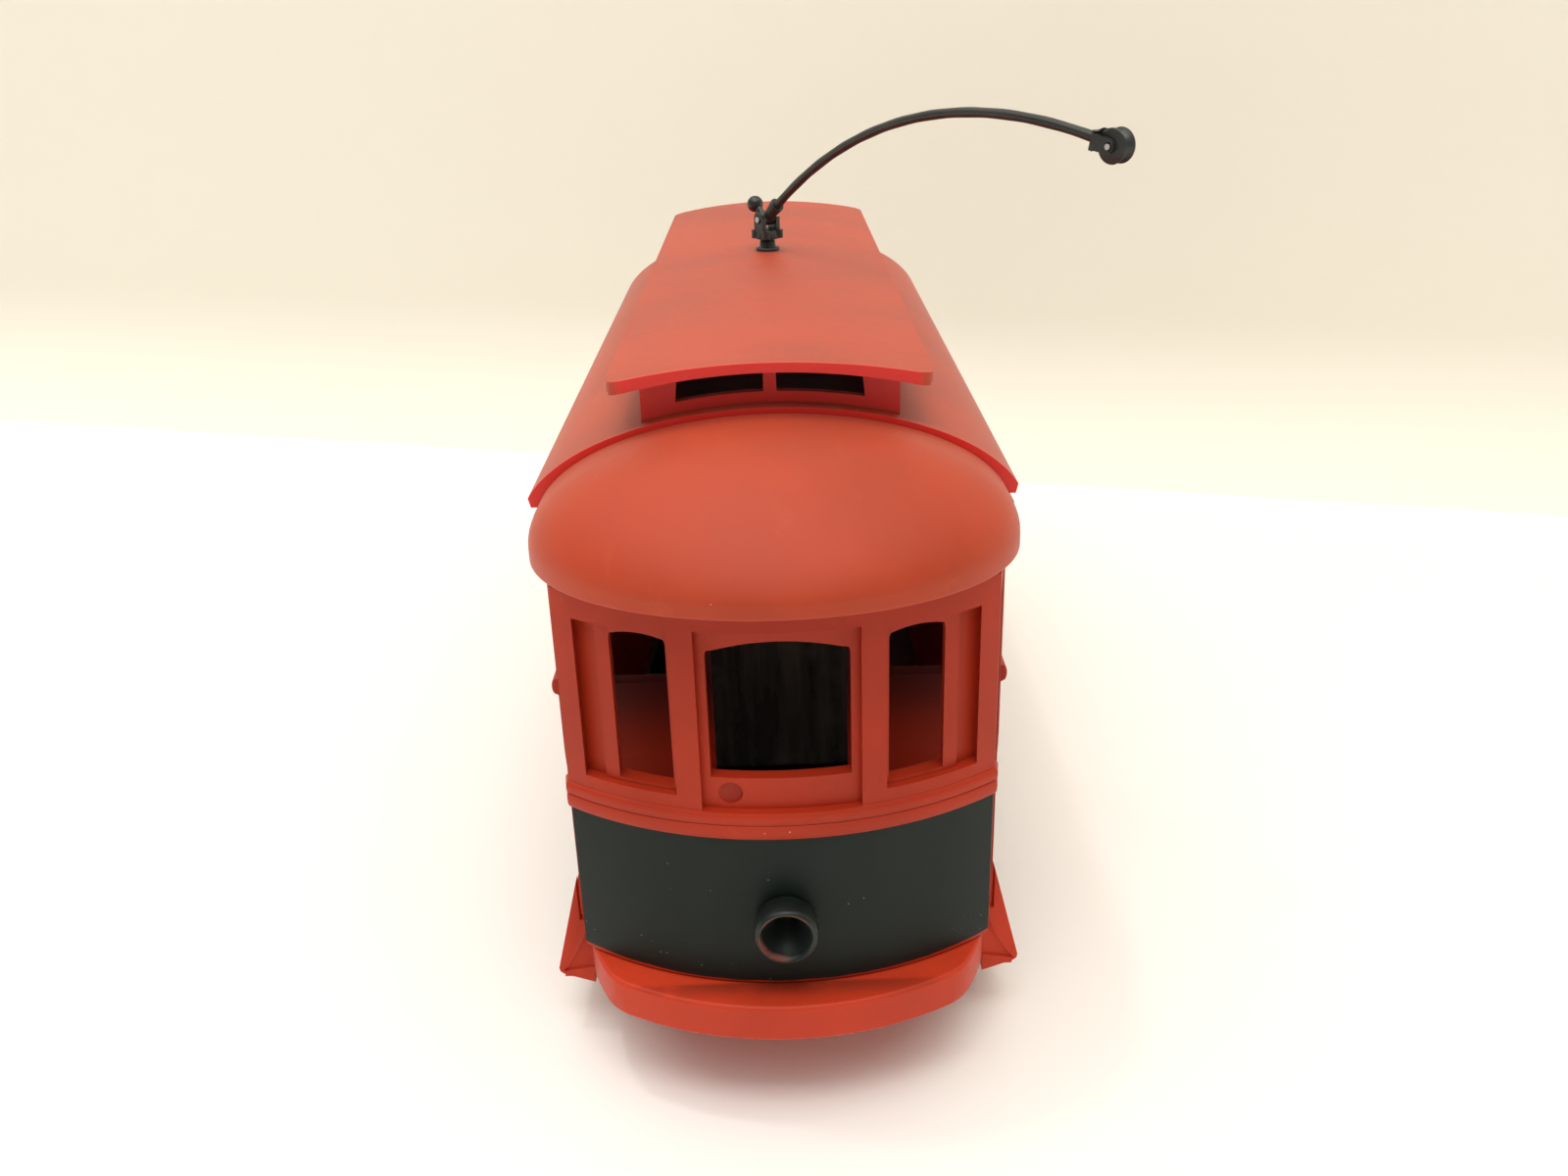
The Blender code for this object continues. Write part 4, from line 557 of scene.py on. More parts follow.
saloon = {"half": 15.0, "sill": 13.6, "end": 34.8, "low": 9.45, "rocker": 19.5, "top": 36.7,
          "wall": 1.1, "bulkhead": 1.2, "beads": ((23.4, 24.6), (34.55, 35.2), (35.85, 36.5)),
          "windows": 8, "pitch": 8.3, "wide": 6.3, "windowLow": 25.0, "windowHigh": 33.6, "arch": 0.5,
          "endLight": (6.2, 11.8, 24.2), "door": 4.6, "doorTop": 33.2}


def sidePoints(drop, steps=14):
    s = saloon
    rise = [i / steps for i in range(steps + 1)]
    return [(s["sill"] + (s["half"] - s["sill"]) * math.sin(t * math.pi / 2) - drop,
             s["low"] + (s["rocker"] - s["low"]) * t) for t in rise]


def roundBead(low, high, out=0.4, steps=8):
    mid, half = (low + high) / 2, (high - low) / 2
    turn = [math.pi * i / steps for i in range(steps + 1)]
    return [(saloon["half"] + out * math.sin(a) ** 0.6, mid - half * math.cos(a)) for a in turn]


def makeSaloon():
    s = saloon
    half = sidePoints(0) + [spot for bead in s["beads"] for spot in roundBead(*bead)] + [(s["half"], s["top"])]
    body = prism("saloon", half + [(-x, z) for x, z in half[::-1]], "Y", -s["end"], s["end"], redBody)
    inner = [(sidePoints(s["wall"])[0][0], 8.0), *sidePoints(s["wall"]), (s["half"] - s["wall"], 38.0)]
    deep = s["end"] - s["bulkhead"]
    cutters = [prism("inside", inner + [(-x, z) for x, z in inner[::-1]], "Y", -deep, deep)]
    for i in range(s["windows"]):
        y = (i - (s["windows"] - 1) / 2) * s["pitch"]
        shape = arched(y - s["wide"] / 2, y + s["wide"] / 2, s["windowLow"], s["windowHigh"], s["arch"])
        cutters.append(prism("light", shape, "X", -17, 17))
    near, far, foot = s["endLight"]
    for side in (-1, 1):
        low, high = sorted((side * near, side * far))
        cutters.append(boxes("bulkheadLight", [((low, -36, foot), (high, 36, s["doorTop"]))]))
    cutters.append(boxes("doorway", [((-s["door"], -36, 8), (s["door"], 36, s["doorTop"]))]))
    combine(body, cutters)
    softened(body, 0.1)
    return carry(body, "car", ["saloon_body"])


makeSaloon()
print("saloon made")


# vestibules

cab = {"cornerY": 43.1, "cornerHalf": 13.3, "end": 47.5, "wall": 1.4, "low": 9.15, "top": 34.95, "back": 34.95,
       "panel": 0.5, "groove": 0.85, "midPanel": (-4.8, 4.8, 21.7, 33.55),
       "midLight": (-4.2, 4.2, 23.8, 32.05, 0.75), "sidePanel": (6.3, 12.05), "sideGroove": (10.75, 12.05),
       "sideTall": (22.6, 33.25), "sideLight": (6.45, 9.85), "lightTall": (22.85, 32.6, 0.3),
       "lampZ": 13.95, "lampHole": 1.38, "pin": (-3.05, 22.75, 0.72, 0.16)}
belt = ((19.85, 0.0), (19.9, 0.12), (20.1, 0.2), (20.5, 0.22), (20.78, 0.16), (20.85, 0.08), (20.92, 0.16),
        (21.2, 0.22), (21.5, 0.2), (21.66, 0.1), (21.7, 0.0))  # height and how far it stands out


def bowPoints(half, cornerY, endY, steps):
    sag = endY - cornerY
    r = (half ** 2 + sag ** 2) / (2 * sag)
    swing = math.degrees(math.asin(half / r))
    return arc(0, -endY + r, r, 270 - swing, 270 + swing, steps)


def cabPlan(inset, steps=56):
    x = saloon["half"] - 0.1 - inset
    front = bowPoints(cab["cornerHalf"] - inset, cab["cornerY"] - inset * 0.6, cab["end"] - inset, steps)
    return [(-x, -cab["back"]), *front, (x, -cab["back"])]


def wallY(x):
    sag = cab["end"] - cab["cornerY"]
    r = (cab["cornerHalf"] ** 2 + sag ** 2) / (2 * sag)
    return -cab["end"] + r - math.sqrt(r * r - x * x)


def panel(low, high, zLow, zHigh, deep):
    xs = [low + (high - low) * i / 24 for i in range(25)]
    plan = [(x, wallY(x) + deep) for x in xs] + [(x, wallY(x) - 2) for x in xs[::-1]]
    return prism("panel", plan, "Z", zLow, zHigh)


def makeCab():
    c = cab
    levels = [(c["low"], 0.0), *belt, (c["top"], 0.0)]
    rings = [[(x, y, z) for x, y in cabPlan(-out) + cabPlan(c["wall"])[::-1]] for z, out in levels]
    back = {0, len(cabPlan(0)) - 1}
    for ring in rings:
        for i in back:
            side = -1 if i == 0 else 1
            ring[i] = (side * (saloon["half"] - 0.1), -c["back"], ring[i][2])
    body = loft("front_cab", rings, redPainted)
    cutters = [panel(*c["midPanel"], c["panel"])]
    for side in (-1, 1):
        for piece, deep in (("sidePanel", c["panel"]), ("sideGroove", c["groove"])):
            low, high = sorted(side * x for x in c[piece])
            cutters.append(panel(low, high, *c["sideTall"], deep))
        low, high = sorted(side * x for x in c["sideLight"])
        cutters.append(prism("endWindow", arched(low, high, *c["lightTall"]), "Y", -50, -42.2))
    cutters.append(prism("midWindow", arched(*c["midLight"]), "Y", -50, -42.2))
    cutters.append(rod("lampHole", (0, -50, c["lampZ"]), (0, -42.2, c["lampZ"]), c["lampHole"]))
    cutters.append(boxes("entrances", [((-17, -42.2, 9.45), (17, -35.9, 33.2))]))
    x, z, r, deep = c["pin"]
    cutters.append(rod("pinMark", (x, -48.2, z), (x, wallY(x) + c["panel"] + deep, z), r))
    combine(body, cutters)
    softened(body, 0.17, 30, 4)
    return body


frontCab = makeCab()
rearCab = turnedRound("rear_cab", frontCab)
carry(frontCab, "car", ["front_vestibule"])
carry(rearCab, "car", ["rear_vestibule"])
print("vestibules made")


# roofs

poleY = 4.4
roofs = {"a": 16.2, "b": 7.55, "base": 35.5, "half": 15.55, "end": 35.1, "eave": 37.0, "eaveIn": 14.6,
         "deckHalf": 10.16, "deckEnd": 36.1, "corner": 45.05, "rise": 1.08, "mid": 0.42, "edge": 0.65,
         "lipLong": 0.55, "lipDeep": 0.2, "deckBend": 1.3, "poleHole": 0.68,
         "wallHalf": 8.1, "wallEnd": 34.1, "wall": 0.7, "shelf": 42.6, "slot": 4.2,
         "lightLong": 6.2, "lightTall": 1.2, "endLight": (0.4, 5.75)}


def ovalArch(a, b, half, steps):
    lean = math.acos(half / a)
    turn = [lean + (math.pi - 2 * lean) * i / steps for i in range(steps + 1)]
    return [(a * math.cos(t), roofs["base"] + b * math.sin(t)) for t in turn]


def deckZ(x, drop=0.0):
    r = (roofs["deckHalf"] ** 2 + roofs["rise"] ** 2) / (2 * roofs["rise"])
    return roofs["corner"] + roofs["rise"] - r + math.sqrt(r * r - x * x) - drop


def deckUnder(x, drop=0.0):
    return deckZ(x, drop + roofs["mid"] + (roofs["edge"] - roofs["mid"]) * (x / roofs["deckHalf"]) ** 2)


def spread(half, steps):
    return [half * (2 * i / steps - 1) for i in range(steps + 1)]


def makeMainRoof():
    r = roofs
    top = [(-x, z) for x, z in ovalArch(r["a"], r["b"], r["half"], 80)]
    under = ovalArch(r["a"] - 1.2, r["b"] - 0.9, r["eaveIn"], 64)
    brim = r["half"] - 0.15
    eave = [(brim, r["eave"]), (r["eaveIn"], r["eave"])]
    shape = [*top, *eave, *under, *((-x, z) for x, z in eave[::-1])]
    roof = prism("lower_roof", shape, "Y", -r["end"], r["end"], redRoof)
    crown = [(x, deckUnder(x, 0.15)) for x in spread(r["wallHalf"], 32)]
    seat = r["base"] + r["b"] - 2.4
    crown = [(-r["wallHalf"], seat), *crown, (r["wallHalf"], seat)]
    combine(roof, [prism("clerestory", crown, "Y", -r["wallEnd"], r["wallEnd"])], "UNION")
    inside, reach = r["wallHalf"] - r["wall"], r["wallEnd"] - r["wall"]
    cutters = [boxes("well", [((-inside, -reach, r["shelf"]), (inside, reach, 50)),
                              ((-r["slot"], -reach, 30), (r["slot"], reach, 43))])]
    top = deckUnder(r["wallHalf"], 0.15) - 0.4
    for i in range(saloon["windows"]):
        y = (i - (saloon["windows"] - 1) / 2) * saloon["pitch"]
        low, high = y - r["lightLong"] / 2, y + r["lightLong"] / 2
        cutters.append(boxes("deckLight", [((-9.2, low, top - r["lightTall"]), (9.2, high, top))]))
    near, far = r["endLight"]
    for side in (-1, 1):
        xs = [side * (near + (far - near) * i / 14) for i in range(15)]
        upper = [(x, deckUnder(x, 0.27)) for x in xs]
        lower = [(x * 1.03, deckZ(x, 2.29 + 0.18 * (x / far) ** 2)) for x in xs]
        cutters.append(prism("endLight", upper + lower[::-1], "Y", -36, 36))
    combine(roof, cutters)
    softened(roof, 0.09, 34, 2)
    return carry(roof, "car", ["main_roof"])


def makeDeck():
    r = roofs
    half = r["deckHalf"]
    xs = spread(half - 0.05, 48)
    shape = [(x, deckZ(x)) for x in xs] + [(x, deckUnder(x)) for x in xs[::-1]]
    deck = prism("deck", shape, "Y", -r["deckEnd"], r["deckEnd"], redDeck)
    for side in (-1, 1):
        ends = sorted((side * (r["deckEnd"] - r["lipLong"]), side * r["deckEnd"]))
        bead = [(x, deckUnder(x, -0.1)) for x in xs] + [(x, deckUnder(x, r["lipDeep"])) for x in xs[::-1]]
        combine(deck, [prism("lip", bead, "Y", *ends)], "UNION")
    wide, long, bend = half - 0.05, r["deckEnd"], r["deckBend"]
    plan = []
    for i, (sx, sy) in enumerate(((1, 1), (-1, 1), (-1, -1), (1, -1))):
        plan += arc(sx * (wide - bend), sy * (long - bend), bend, 90 * i, 90 * i + 90, 10)
    combine(deck, [prism("deckPlan", plan, "Z", 40, 50)], "INTERSECT")
    combine(deck, [rod("poleHole", (0, poleY, 40), (0, poleY, 50), r["poleHole"])])
    softened(deck, 0.2, 40, 5)
    return carry(deck, "car", ["deck_roof"])


makeMainRoof()
makeDeck()

hood = {"half": 15.1, "front": 49.39, "widest": 38.0, "back": 35.2, "crown": 42.72, "spring": 36.0, "rim": 35.1,
        "side": 1.7, "flange": 2.9, "thick": 0.8, "slope": 0.7, "edge": 0.22}


def hoodRing(half, front, squeeze, base, rise=0.0, steps=72):
    h = hood
    x = half * squeeze
    domed = math.sqrt(max(0.0, 1 - squeeze ** 2))
    sloped = 1 - squeeze ** 2
    side = base + rise * domed
    left = [(-x, -h["back"], side), (-x, -(h["back"] + h["widest"]) / 2, side)]
    right = [(x, -(h["back"] + h["widest"]) / 2, side), (x, -h["back"], side)]
    reach = (front - h["widest"]) * squeeze
    mid = []
    for i in range(steps + 1):
        a = math.pi * i / steps
        ease = h["slope"] * math.sin(a) ** 2  # the front slopes down more evenly than the sides
        z = base + rise * (domed * (1 - ease) + sloped * ease)
        mid.append((-x * math.cos(a), -h["widest"] - reach * math.sin(a), z))
    return left + mid + right


def makeHood():
    h = hood
    rings = []
    inner = (h["half"] - h["side"], h["front"] - h["flange"])
    rise = h["crown"] - h["thick"] - h["spring"]
    for i in range(12):
        a = math.pi / 2 * (1 - i / 11)
        rings.append(hoodRing(*inner, max(math.cos(a), 0.0), h["spring"], rise))
    rings.append(hoodRing(*inner, 1.0, h["rim"]))
    edge = h["edge"]
    for i in range(7):
        a = math.pi / 2 * i / 6
        d = edge * (1 - math.sin(a))
        rings.append(hoodRing(h["half"] - d, h["front"] - d, 1.0, h["rim"] + edge * (1 - math.cos(a))))
    rise = h["crown"] - h["spring"]
    for i in range(25):
        a = math.pi / 2 * i / 24
        rings.append(hoodRing(h["half"], h["front"], max(math.cos(a), 0.0), h["spring"], rise))
    n = len(rings[0])
    bm = bmesh.new()
    rows = [[bm.verts.new(Vector(p) * mm) for p in ring] for ring in rings]
    for near, far in zip(rows, rows[1:]):
        for i in range(n - 1):
            bm.faces.new((near[i], near[i + 1], far[i + 1], far[i]))
    bmesh.ops.remove_doubles(bm, verts=bm.verts, dist=1e-7)
    bmesh.ops.dissolve_degenerate(bm, dist=1e-8, edges=bm.edges)
    bmesh.ops.holes_fill(bm, edges=[e for e in bm.edges if e.is_boundary], sides=0)
    made = fromBm("front_hood_dome", bm, redHood)
    return smooth(made, 48)


frontHood = makeHood()
rearHood = turnedRound("rear_hood_dome", frontHood)
carry(frontHood, "car", ["front_hood"])
carry(rearHood, "car", ["rear_hood"])
print("roofs made")


# platforms and steps

deckPlan = {"half": 13.3, "front": 49.8, "corner": 10.6, "bow": 21.0, "low": 6.4, "top": 9.0, "back": 34.45,
            "pocket": ((-5.15, -44.15, 8.15), (5.15, -33.3, 10)), "screwY": -40, "screwHole": 0.58}


def curveThrough(spots, steps):
    curve = []
    for i in range(len(spots) - 1):
        a, b = spots[max(i - 1, 0)], spots[i]
        c, e = spots[i + 1], spots[min(i + 2, len(spots) - 1)]
        for k in range(1, steps + 1):
            t = k / steps
            spot = []
            for j in range(2):
                bend = 2 * a[j] - 5 * b[j] + 4 * c[j] - e[j]
                twist = 3 * b[j] - a[j] - 3 * c[j] + e[j]
                spot.append(0.5 * (2 * b[j] + (c[j] - a[j]) * t + bend * t ** 2 + twist * t ** 3))
            curve.append(tuple(spot))
    return curve


def makePlatform():
    d = deckPlan
    swing = math.degrees(math.asin(d["corner"] / d["bow"]))
    front = arc(0, -d["front"] + d["bow"], d["bow"], 270 - swing, 270 + swing, 40)
    last = front[-1]
    shoulder = [last, (last[0] + 0.75, last[1] + 0.7), (d["half"] - 1.2, -45.0), (d["half"] - 0.45, -43.2),
                (d["half"], -41.1)]
    curve = [(min(x, d["half"]), y) for x, y in curveThrough(shoulder, 5)]
    right = [*curve, (d["half"], -d["back"])]
    plan = [(-x, y) for x, y in right[::-1]] + front + right
    deck = prism("front_deck", plan, "Z", d["low"], d["top"], red)
    hole = rod("hole", (0, d["screwY"], 0), (0, d["screwY"], 20), d["screwHole"])
    combine(deck, [boxes("pocket", [d["pocket"]]), hole])
    return softened(deck, 0.28, 40, 4)


frontDeck = makePlatform()
rearDeck = turnedRound("rear_deck", frontDeck)
carry(frontDeck, "car", ["front_platform"])
carry(rearDeck, "car", ["rear_platform"])

stepSize = {"inner": 13.45, "out": 15.9, "low": 4.0, "fin": 12.2, "finIn": 14.1, "front": -40.4, "back": -34.4,
            "plate": 0.7, "seat": 9.0}


def makeStep():
    s = stepSize
    inner, out, low, fin, finIn, seat = (s[key] for key in ("inner", "out", "low", "fin", "finIn", "seat"))
    slope = (out - finIn) / (fin - low - 1)
    foot = [(inner, low - 0.3), (out - 0.3, low + 0.5)]
    plate = [*foot, (out - 0.06, low + 0.7), (out, low + 1), (finIn, fin), (finIn, seat), (inner, seat)]
    rear = [*foot, (out, low + 1), (out - slope * (seat - low - 1), seat), (inner, seat)]
    step = prism("front_right_board", plate, "Y", s["front"], s["front"] + s["plate"], red)
    near, far = s["front"] + 0.1, s["back"] - 0.1
    joined = [prism("backPlate", rear, "Y", s["back"] - s["plate"], s["back"]),
              boxes("tread", [((inner, near, low + 0.2), (out - 0.35, far, low + 1.0))]),
              boxes("riser", [((inner, near, low), (inner + 0.6, far, seat - 0.1))])]
    combine(step, joined, "UNION")
    curve = [(inner + 0.25 + 1.9 * (i / 16) ** 1.5, 8.6 - 3.9 * i / 16) for i in range(17)]
    cove = [(13.0, 8.6), *curve, (13.0, low + 1.1)]
    combine(step, [prism("cove", cove, "Y", s["front"] - 1, s["front"] + 0.2)])
    return softened(step, 0.09, 34, 3)


rightStep = makeStep()
leftStep = mirrored("front_left_board", rightStep)
rearLeftStep = turnedRound("rear_left_board", rightStep)
rearRightStep = turnedRound("rear_right_board", leftStep)
for piece, node in ((rightStep, "front_right_step"), (leftStep, "front_left_step"),
                    (rearLeftStep, "rear_left_step"), (rearRightStep, "rear_right_step")):
    carry(piece, "car", [node])
print("platforms and steps made")


# headlights

lamp = {"r": 1.95, "bore": 1.62, "out": 1.9, "z": cab["lampZ"], "plug": 1.3,
        "cone": ((0, 2.75), (0.16, 2.66), (0.5, 2.15), (0.9, 1.45), (1.25, 0.8), (1.46, 0.4))}


def makeLamp():
    p = lamp
    bore, r, face = p["bore"], p["r"], p["out"]
    profile = [(spot, face - back) for spot, back in p["cone"]]
    profile += [(bore - 0.06, face - 0.14), (bore, face - 0.05), (bore + 0.06, face - 0.01),
                (bore + 0.16, face + 0.02)]
    profile += [(r - 0.1, face - 0.03), (r, face - 0.16), (r, 0.3), (r - 0.12, 0.12)]
    profile += [(p["plug"], 0.12), (p["plug"], -1.6), (0, -1.6)]
    made = lathe("front_lamp", profile, (0, -cab["end"], p["z"]), (0, -1, 0), lampBlack, 72)
    return smooth(made, 50)


frontLamp = makeLamp()
rearLamp = turnedRound("rear_lamp", frontLamp)
carry(frontLamp, "car", ["front_headlight"])
carry(rearLamp, "car", ["rear_headlight"])
print("headlights made")


# trolley pole: built in its own vertical plane, swung from -Y towards +X

pole = {"y": poleY, "turn": math.radians(38), "hinge": 48.8, "r": 0.37, "sleeve": 2.0,
        "rise": (9.2, 56.67), "crest": (21.1, 60.55), "tip": (35.3, 57.28),
        "turretR": 1.3, "turretLow": 47.15, "turretTop": 47.85, "wheelR": 1.15, "wheelHalf": 0.54}
along = Vector((math.sin(pole["turn"]), -math.cos(pole["turn"]), 0))
across = Vector((math.cos(pole["turn"]), math.sin(pole["turn"]), 0))
up = Vector((0, 0, 1))
foot = Vector((0, pole["y"], 0))


def inPlane(a, z, side=0.0):
    return tuple(foot + along * a + across * side + up * z)


def centreLine(t):
    w = ((1 - t) ** 3, 3 * t * (1 - t) ** 2, 3 * t * t * (1 - t), t ** 3)
    spots = ((0.0, pole["hinge"]), pole["rise"], pole["crest"], pole["tip"])
    return tuple(sum(a * p[k] for a, p in zip(w, spots)) for k in (0, 1))


def block(name, corners):
    faces = [(0, 1, 3, 2), (4, 6, 7, 5), (0, 4, 5, 1), (2, 3, 7, 6), (0, 2, 6, 4), (1, 5, 7, 3)]
    return solid(name, corners, faces, None)


def makeBase():
    crown, under = deckZ(0), deckUnder(0)
    top = pole["hinge"] - 0.85
    spigot = [(0, top), (0.26, top), (0.32, top - 0.06), (0.32, 47.0), (0.6, 47.0), (0.68, 46.92)]
    skirt = ((0.68, 0.42), (0.75, 0.34), (1.0, 0.28), (1.05, 0.2), (1.05, 0.05), (0.6, 0.05))
    profile = [*spigot, *((r, crown + h) for r, h in skirt)]
    profile += [(0.6, under - 0.85), (0.55, under - 0.9), (0, under - 0.9)]
    made = smooth(lathe("base_post", profile, (0, pole["y"], 0), (0, 0, 1), black, 48), 45)
    return carry(made, "car", ["pole_base"])


def makeTurret():
    p = pole
    r, low, top = p["turretR"], p["turretLow"], p["turretTop"]
    body = [(0.4, top), (r - 0.45, top), (r - 0.35, top - 0.08),
            (r - 0.22, low + 0.06), (r - 0.28, low), (0.4, low)]
    turret = lathe("swivel_turret", body, (0, p["y"], 0), (0, 0, 1), black, 48)
    joined = []
    for quarter in range(4):
        a = p["turn"] + math.pi / 4 + quarter * math.pi / 2
        spot = foot + Vector((math.cos(a), math.sin(a), 0)) * (r - 0.3)
        joined.append(rod("lobe", spot + up * (low + 0.03), spot + up * (top + 0.05), 0.38, steps=24))
    tall = (top - 0.2, p["hinge"] + 0.15)
    crest = p["hinge"] + 0.05
    for side in (-1, 1):
        near, far = sorted((side * 0.55, side * 0.95))
        corners = [inPlane(a, z, out) for a in (-0.6, 0.6) for out in (near, far) for z in tall]
        joined.append(block("cheek", corners))
        joined.append(rod("cheekTop", inPlane(0, crest, near), inPlane(0, crest, far), 0.6, steps=40))
    combine(turret, joined, "UNION")
    combine(turret, [rod("bore", inPlane(0, p["hinge"], -2), inPlane(0, p["hinge"], 2), 0.33)])
    softened(turret, 0.05, 40, 2)
    return carry(turret, "pole_swivel", ["pole_turret"])


def makePole():
    p = pole
    aim = (Vector(p["rise"]) - Vector((0, p["hinge"]))).normalized()
    left, right = (inPlane(0, p["hinge"], side) for side in (-0.47, 0.47))
    yoke = rod("yoke_casting", left, right, 0.55, steps=48, material=black)
    tail = inPlane(-1.6, p["hinge"] + 1.1)
    start, end = (inPlane(far * aim.x, p["hinge"] + far * aim.y) for far in (0.1, p["sleeve"]))
    joined = [rod("sleeve", start, end, 0.44, 0.62), rod("tail", inPlane(-0.1, p["hinge"]), tail, 0.3),
              ball("knob", tail, 0.7)]
    combine(yoke, joined, "UNION")
    combine(yoke, [rod("bore", inPlane(0, p["hinge"], -2), inPlane(0, p["hinge"], 2), 0.33)])
    softened(yoke, 0.05, 40, 2)
    carry(yoke, "pole", ["pole_yoke"])
    first = 0.0
    while math.dist(centreLine(first), (0.0, p["hinge"])) < p["sleeve"] + 0.1:
        first += 0.001
    count, rings = 90, []
    for i in range(count + 1):
        t = first + (1 - first) * i / count
        here, ahead, behind = (Vector(centreLine(v)) for v in (t, min(1.0, t + 0.002), t - 0.002))
        go = (ahead - behind).normalized()
        left = Vector((-go.y, go.x))
        r = p["r"] * (0.97 + 0.03 * math.cos(i * 0.7))
        ring = []
        for k in range(28):
            a = 2 * math.pi * k / 28
            spot = here + left * (r * math.cos(a))
            ring.append(inPlane(spot.x, spot.y, r * math.sin(a)))
        rings.append(ring)
    rodPiece = smooth(loft("pole_rod", rings, black), 45)
    return carry(rodPiece, "pole", ["trolley_pole"])


def makeHarp():
    p = pole
    tip = Vector(p["tip"])
    aim = (tip - Vector(p["crest"])).normalized()
    rise = Vector((-aim.y, aim.x))

    def ahead(far, side=0.0, lift=0.0):
        spot = tip + aim * far + rise * lift
        return inPlane(spot.x, spot.y, side)

    def bar(a, side, lift):
        return block("bar", [ahead(x, s, h) for x in a for s in side for h in lift])

    wheelAt = p["wheelR"] + 0.72
    harp = rod("harp_casting", ahead(0.1), ahead(0.55), p["r"] + 0.05, 0.8, 40, black)
    joined = [bar((0.35, 0.65), (-0.86, 0.86), (-0.65, 0.65))]
    for side in (-1, 1):
        low, high = sorted((side * 0.62, side * 0.86))
        joined.append(bar((0.4, wheelAt - 0.05), (low, high), (-0.5, 0.5)))
        joined.append(rod("ear", ahead(wheelAt - 0.15, low), ahead(wheelAt - 0.15, high), 0.5, steps=36))
    combine(harp, joined, "UNION")
    combine(harp, [rod("bore", ahead(wheelAt, -2), ahead(wheelAt, 2), 0.28)])
    softened(harp, 0.05, 40, 2)
    carry(harp, "pole", ["pole_harp"])
    half, r = p["wheelHalf"], p["wheelR"]
    groove = [(r - 0.4 * (1 - abs(v) ** 1.6), 0.44 * v) for v in [1 - i / 8 for i in range(17)]]
    profile = [(0.28, half), (r - 0.12, half), (r - 0.02, half - 0.05), *groove,
               (r - 0.02, -half + 0.05), (r - 0.12, -half), (0.28, -half)]
    wheel = smooth(lathe("grooved_wheel", profile, ahead(wheelAt), across, black, 64), 50)
    return carry(wheel, "trolley_wheel_body", ["trolley_wheel"])


makeBase()
makeTurret()
makePole()
makeHarp()
print("trolley pole made")


# running gear

gear = {"back": 14.4, "wide": 2.8, "axleY": 14.0, "axleZ": 5.5, "bore": 1.04,
        "teeth": 14, "module": 0.4, "tooth": 0.36, "wormR": 1.8, "wormHalf": 2.4, "shaftZ": 10.35,
        "face": ((1.9, 0.12), (2.05, 0.6), (2.3, 0.72), (3.5, 0.8), (3.8, 0.7),
                 (3.98, 0.2), (4.05, 0.1), (4.68, 0.1), (4.8, 0.2)),
        "rim": ((4.84, 1.12), (4.95, 1.0), (5.38, 0.66), (5.48, 0.52), (5.5, 0.4), (5.44, 0.16), (5.3, 0)),
        "axle": ((0, 10.3), (0.82, 10.3), (1.0, 10.1), (1.0, -10.1), (0.82, -10.3), (0, -10.3))}


def makeWheels():
    g = gear
    w = g["wide"]
    face = [(r, w - back) for r, back in g["face"]]
    profile = [(g["bore"], w), (1.75, w), *face, *g["rim"], (g["bore"], 0)]
    for end, side in (("front", -1), ("rear", 1)):
        for hand, way in (("right", 1), ("left", -1)):
            spot = (way * g["back"] / 2, side * g["axleY"], g["axleZ"])
            wheel = lathe(f"{end}_{hand}_tyre", profile, spot, (way, 0, 0), steel, 72)
            carry(smooth(wheel, 40), f"{end}_wheelset", [f"{end}_{hand}_wheel"])
        axle = lathe(f"{end}_axle_bar", g["axle"], (0, side * g["axleY"], g["axleZ"]), (1, 0, 0), steel, 40)
        carry(smooth(axle, 40), f"{end}_wheelset", [f"{end}_axle"])


def makeGears():
    g = gear
    pitch = math.pi * g["module"]
    r = g["module"] * g["teeth"] / 2
    twist = -pitch / (2 * math.pi * g["wormR"] * r)
    count = g["teeth"] * 12
    for end, side in (("front", -1), ("rear", 1)):
        rings = []
        for x, toothed in ((-0.8, 1), (-0.4, 1), (0, 1), (0.4, 1), (0.8, 1), (0.8, 0), (-0.8, 0)):
            ring = []
            for i in range(count):
                a = 2 * math.pi * i / count
                d = r - g["tooth"] * math.cos(g["teeth"] * (a + twist * x)) if toothed else g["bore"]
                ring.append((x, side * g["axleY"] + d * math.sin(a), g["axleZ"] + d * math.cos(a)))
            rings.append(ring)
        made = smooth(loft(f"{end}_gear", rings, nylon, True), 50)
        carry(made, f"{end}_wheelset", [f"{end}_axle_gear"])
        rings = []
        turns, around = 96, 40
        for j in range(turns + 1):
            h = g["wormHalf"] * (2 * j / turns - 1)
            fade = min(1.0, (g["wormHalf"] - abs(h)) / 0.5)
            ring = []
            for i in range(around):
                a = 2 * math.pi * i / around
                thread = fade * math.cos(2 * math.pi * h / pitch - a)
                d = g["wormR"] - g["tooth"] * (1 - fade) + g["tooth"] * thread
                ring.append((d * math.sin(a), side * g["axleY"] + h, g["shaftZ"] - d * math.cos(a)))
            rings.append(ring)
        for h in (g["wormHalf"], -g["wormHalf"]):
            turn = [2 * math.pi * i / around for i in range(around)]
            y = side * g["axleY"] + h
            rings.append([(0.76 * math.sin(a), y, g["shaftZ"] - 0.76 * math.cos(a)) for a in turn])
        made = smooth(loft(f"{end}_worm_thread", rings, brass, True), 50)
        carry(made, "armature", [f"{end}_worm"])


makeWheels()
makeGears()


def softCopy(node, material, body, width=0.08):
    bm = bmesh.new()
    bm.from_mesh(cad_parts[node].data)
    made = fromBm(node + "_look", bm, material)
    softened(made, width, 36, 2)
    return carry(made, body, [node])


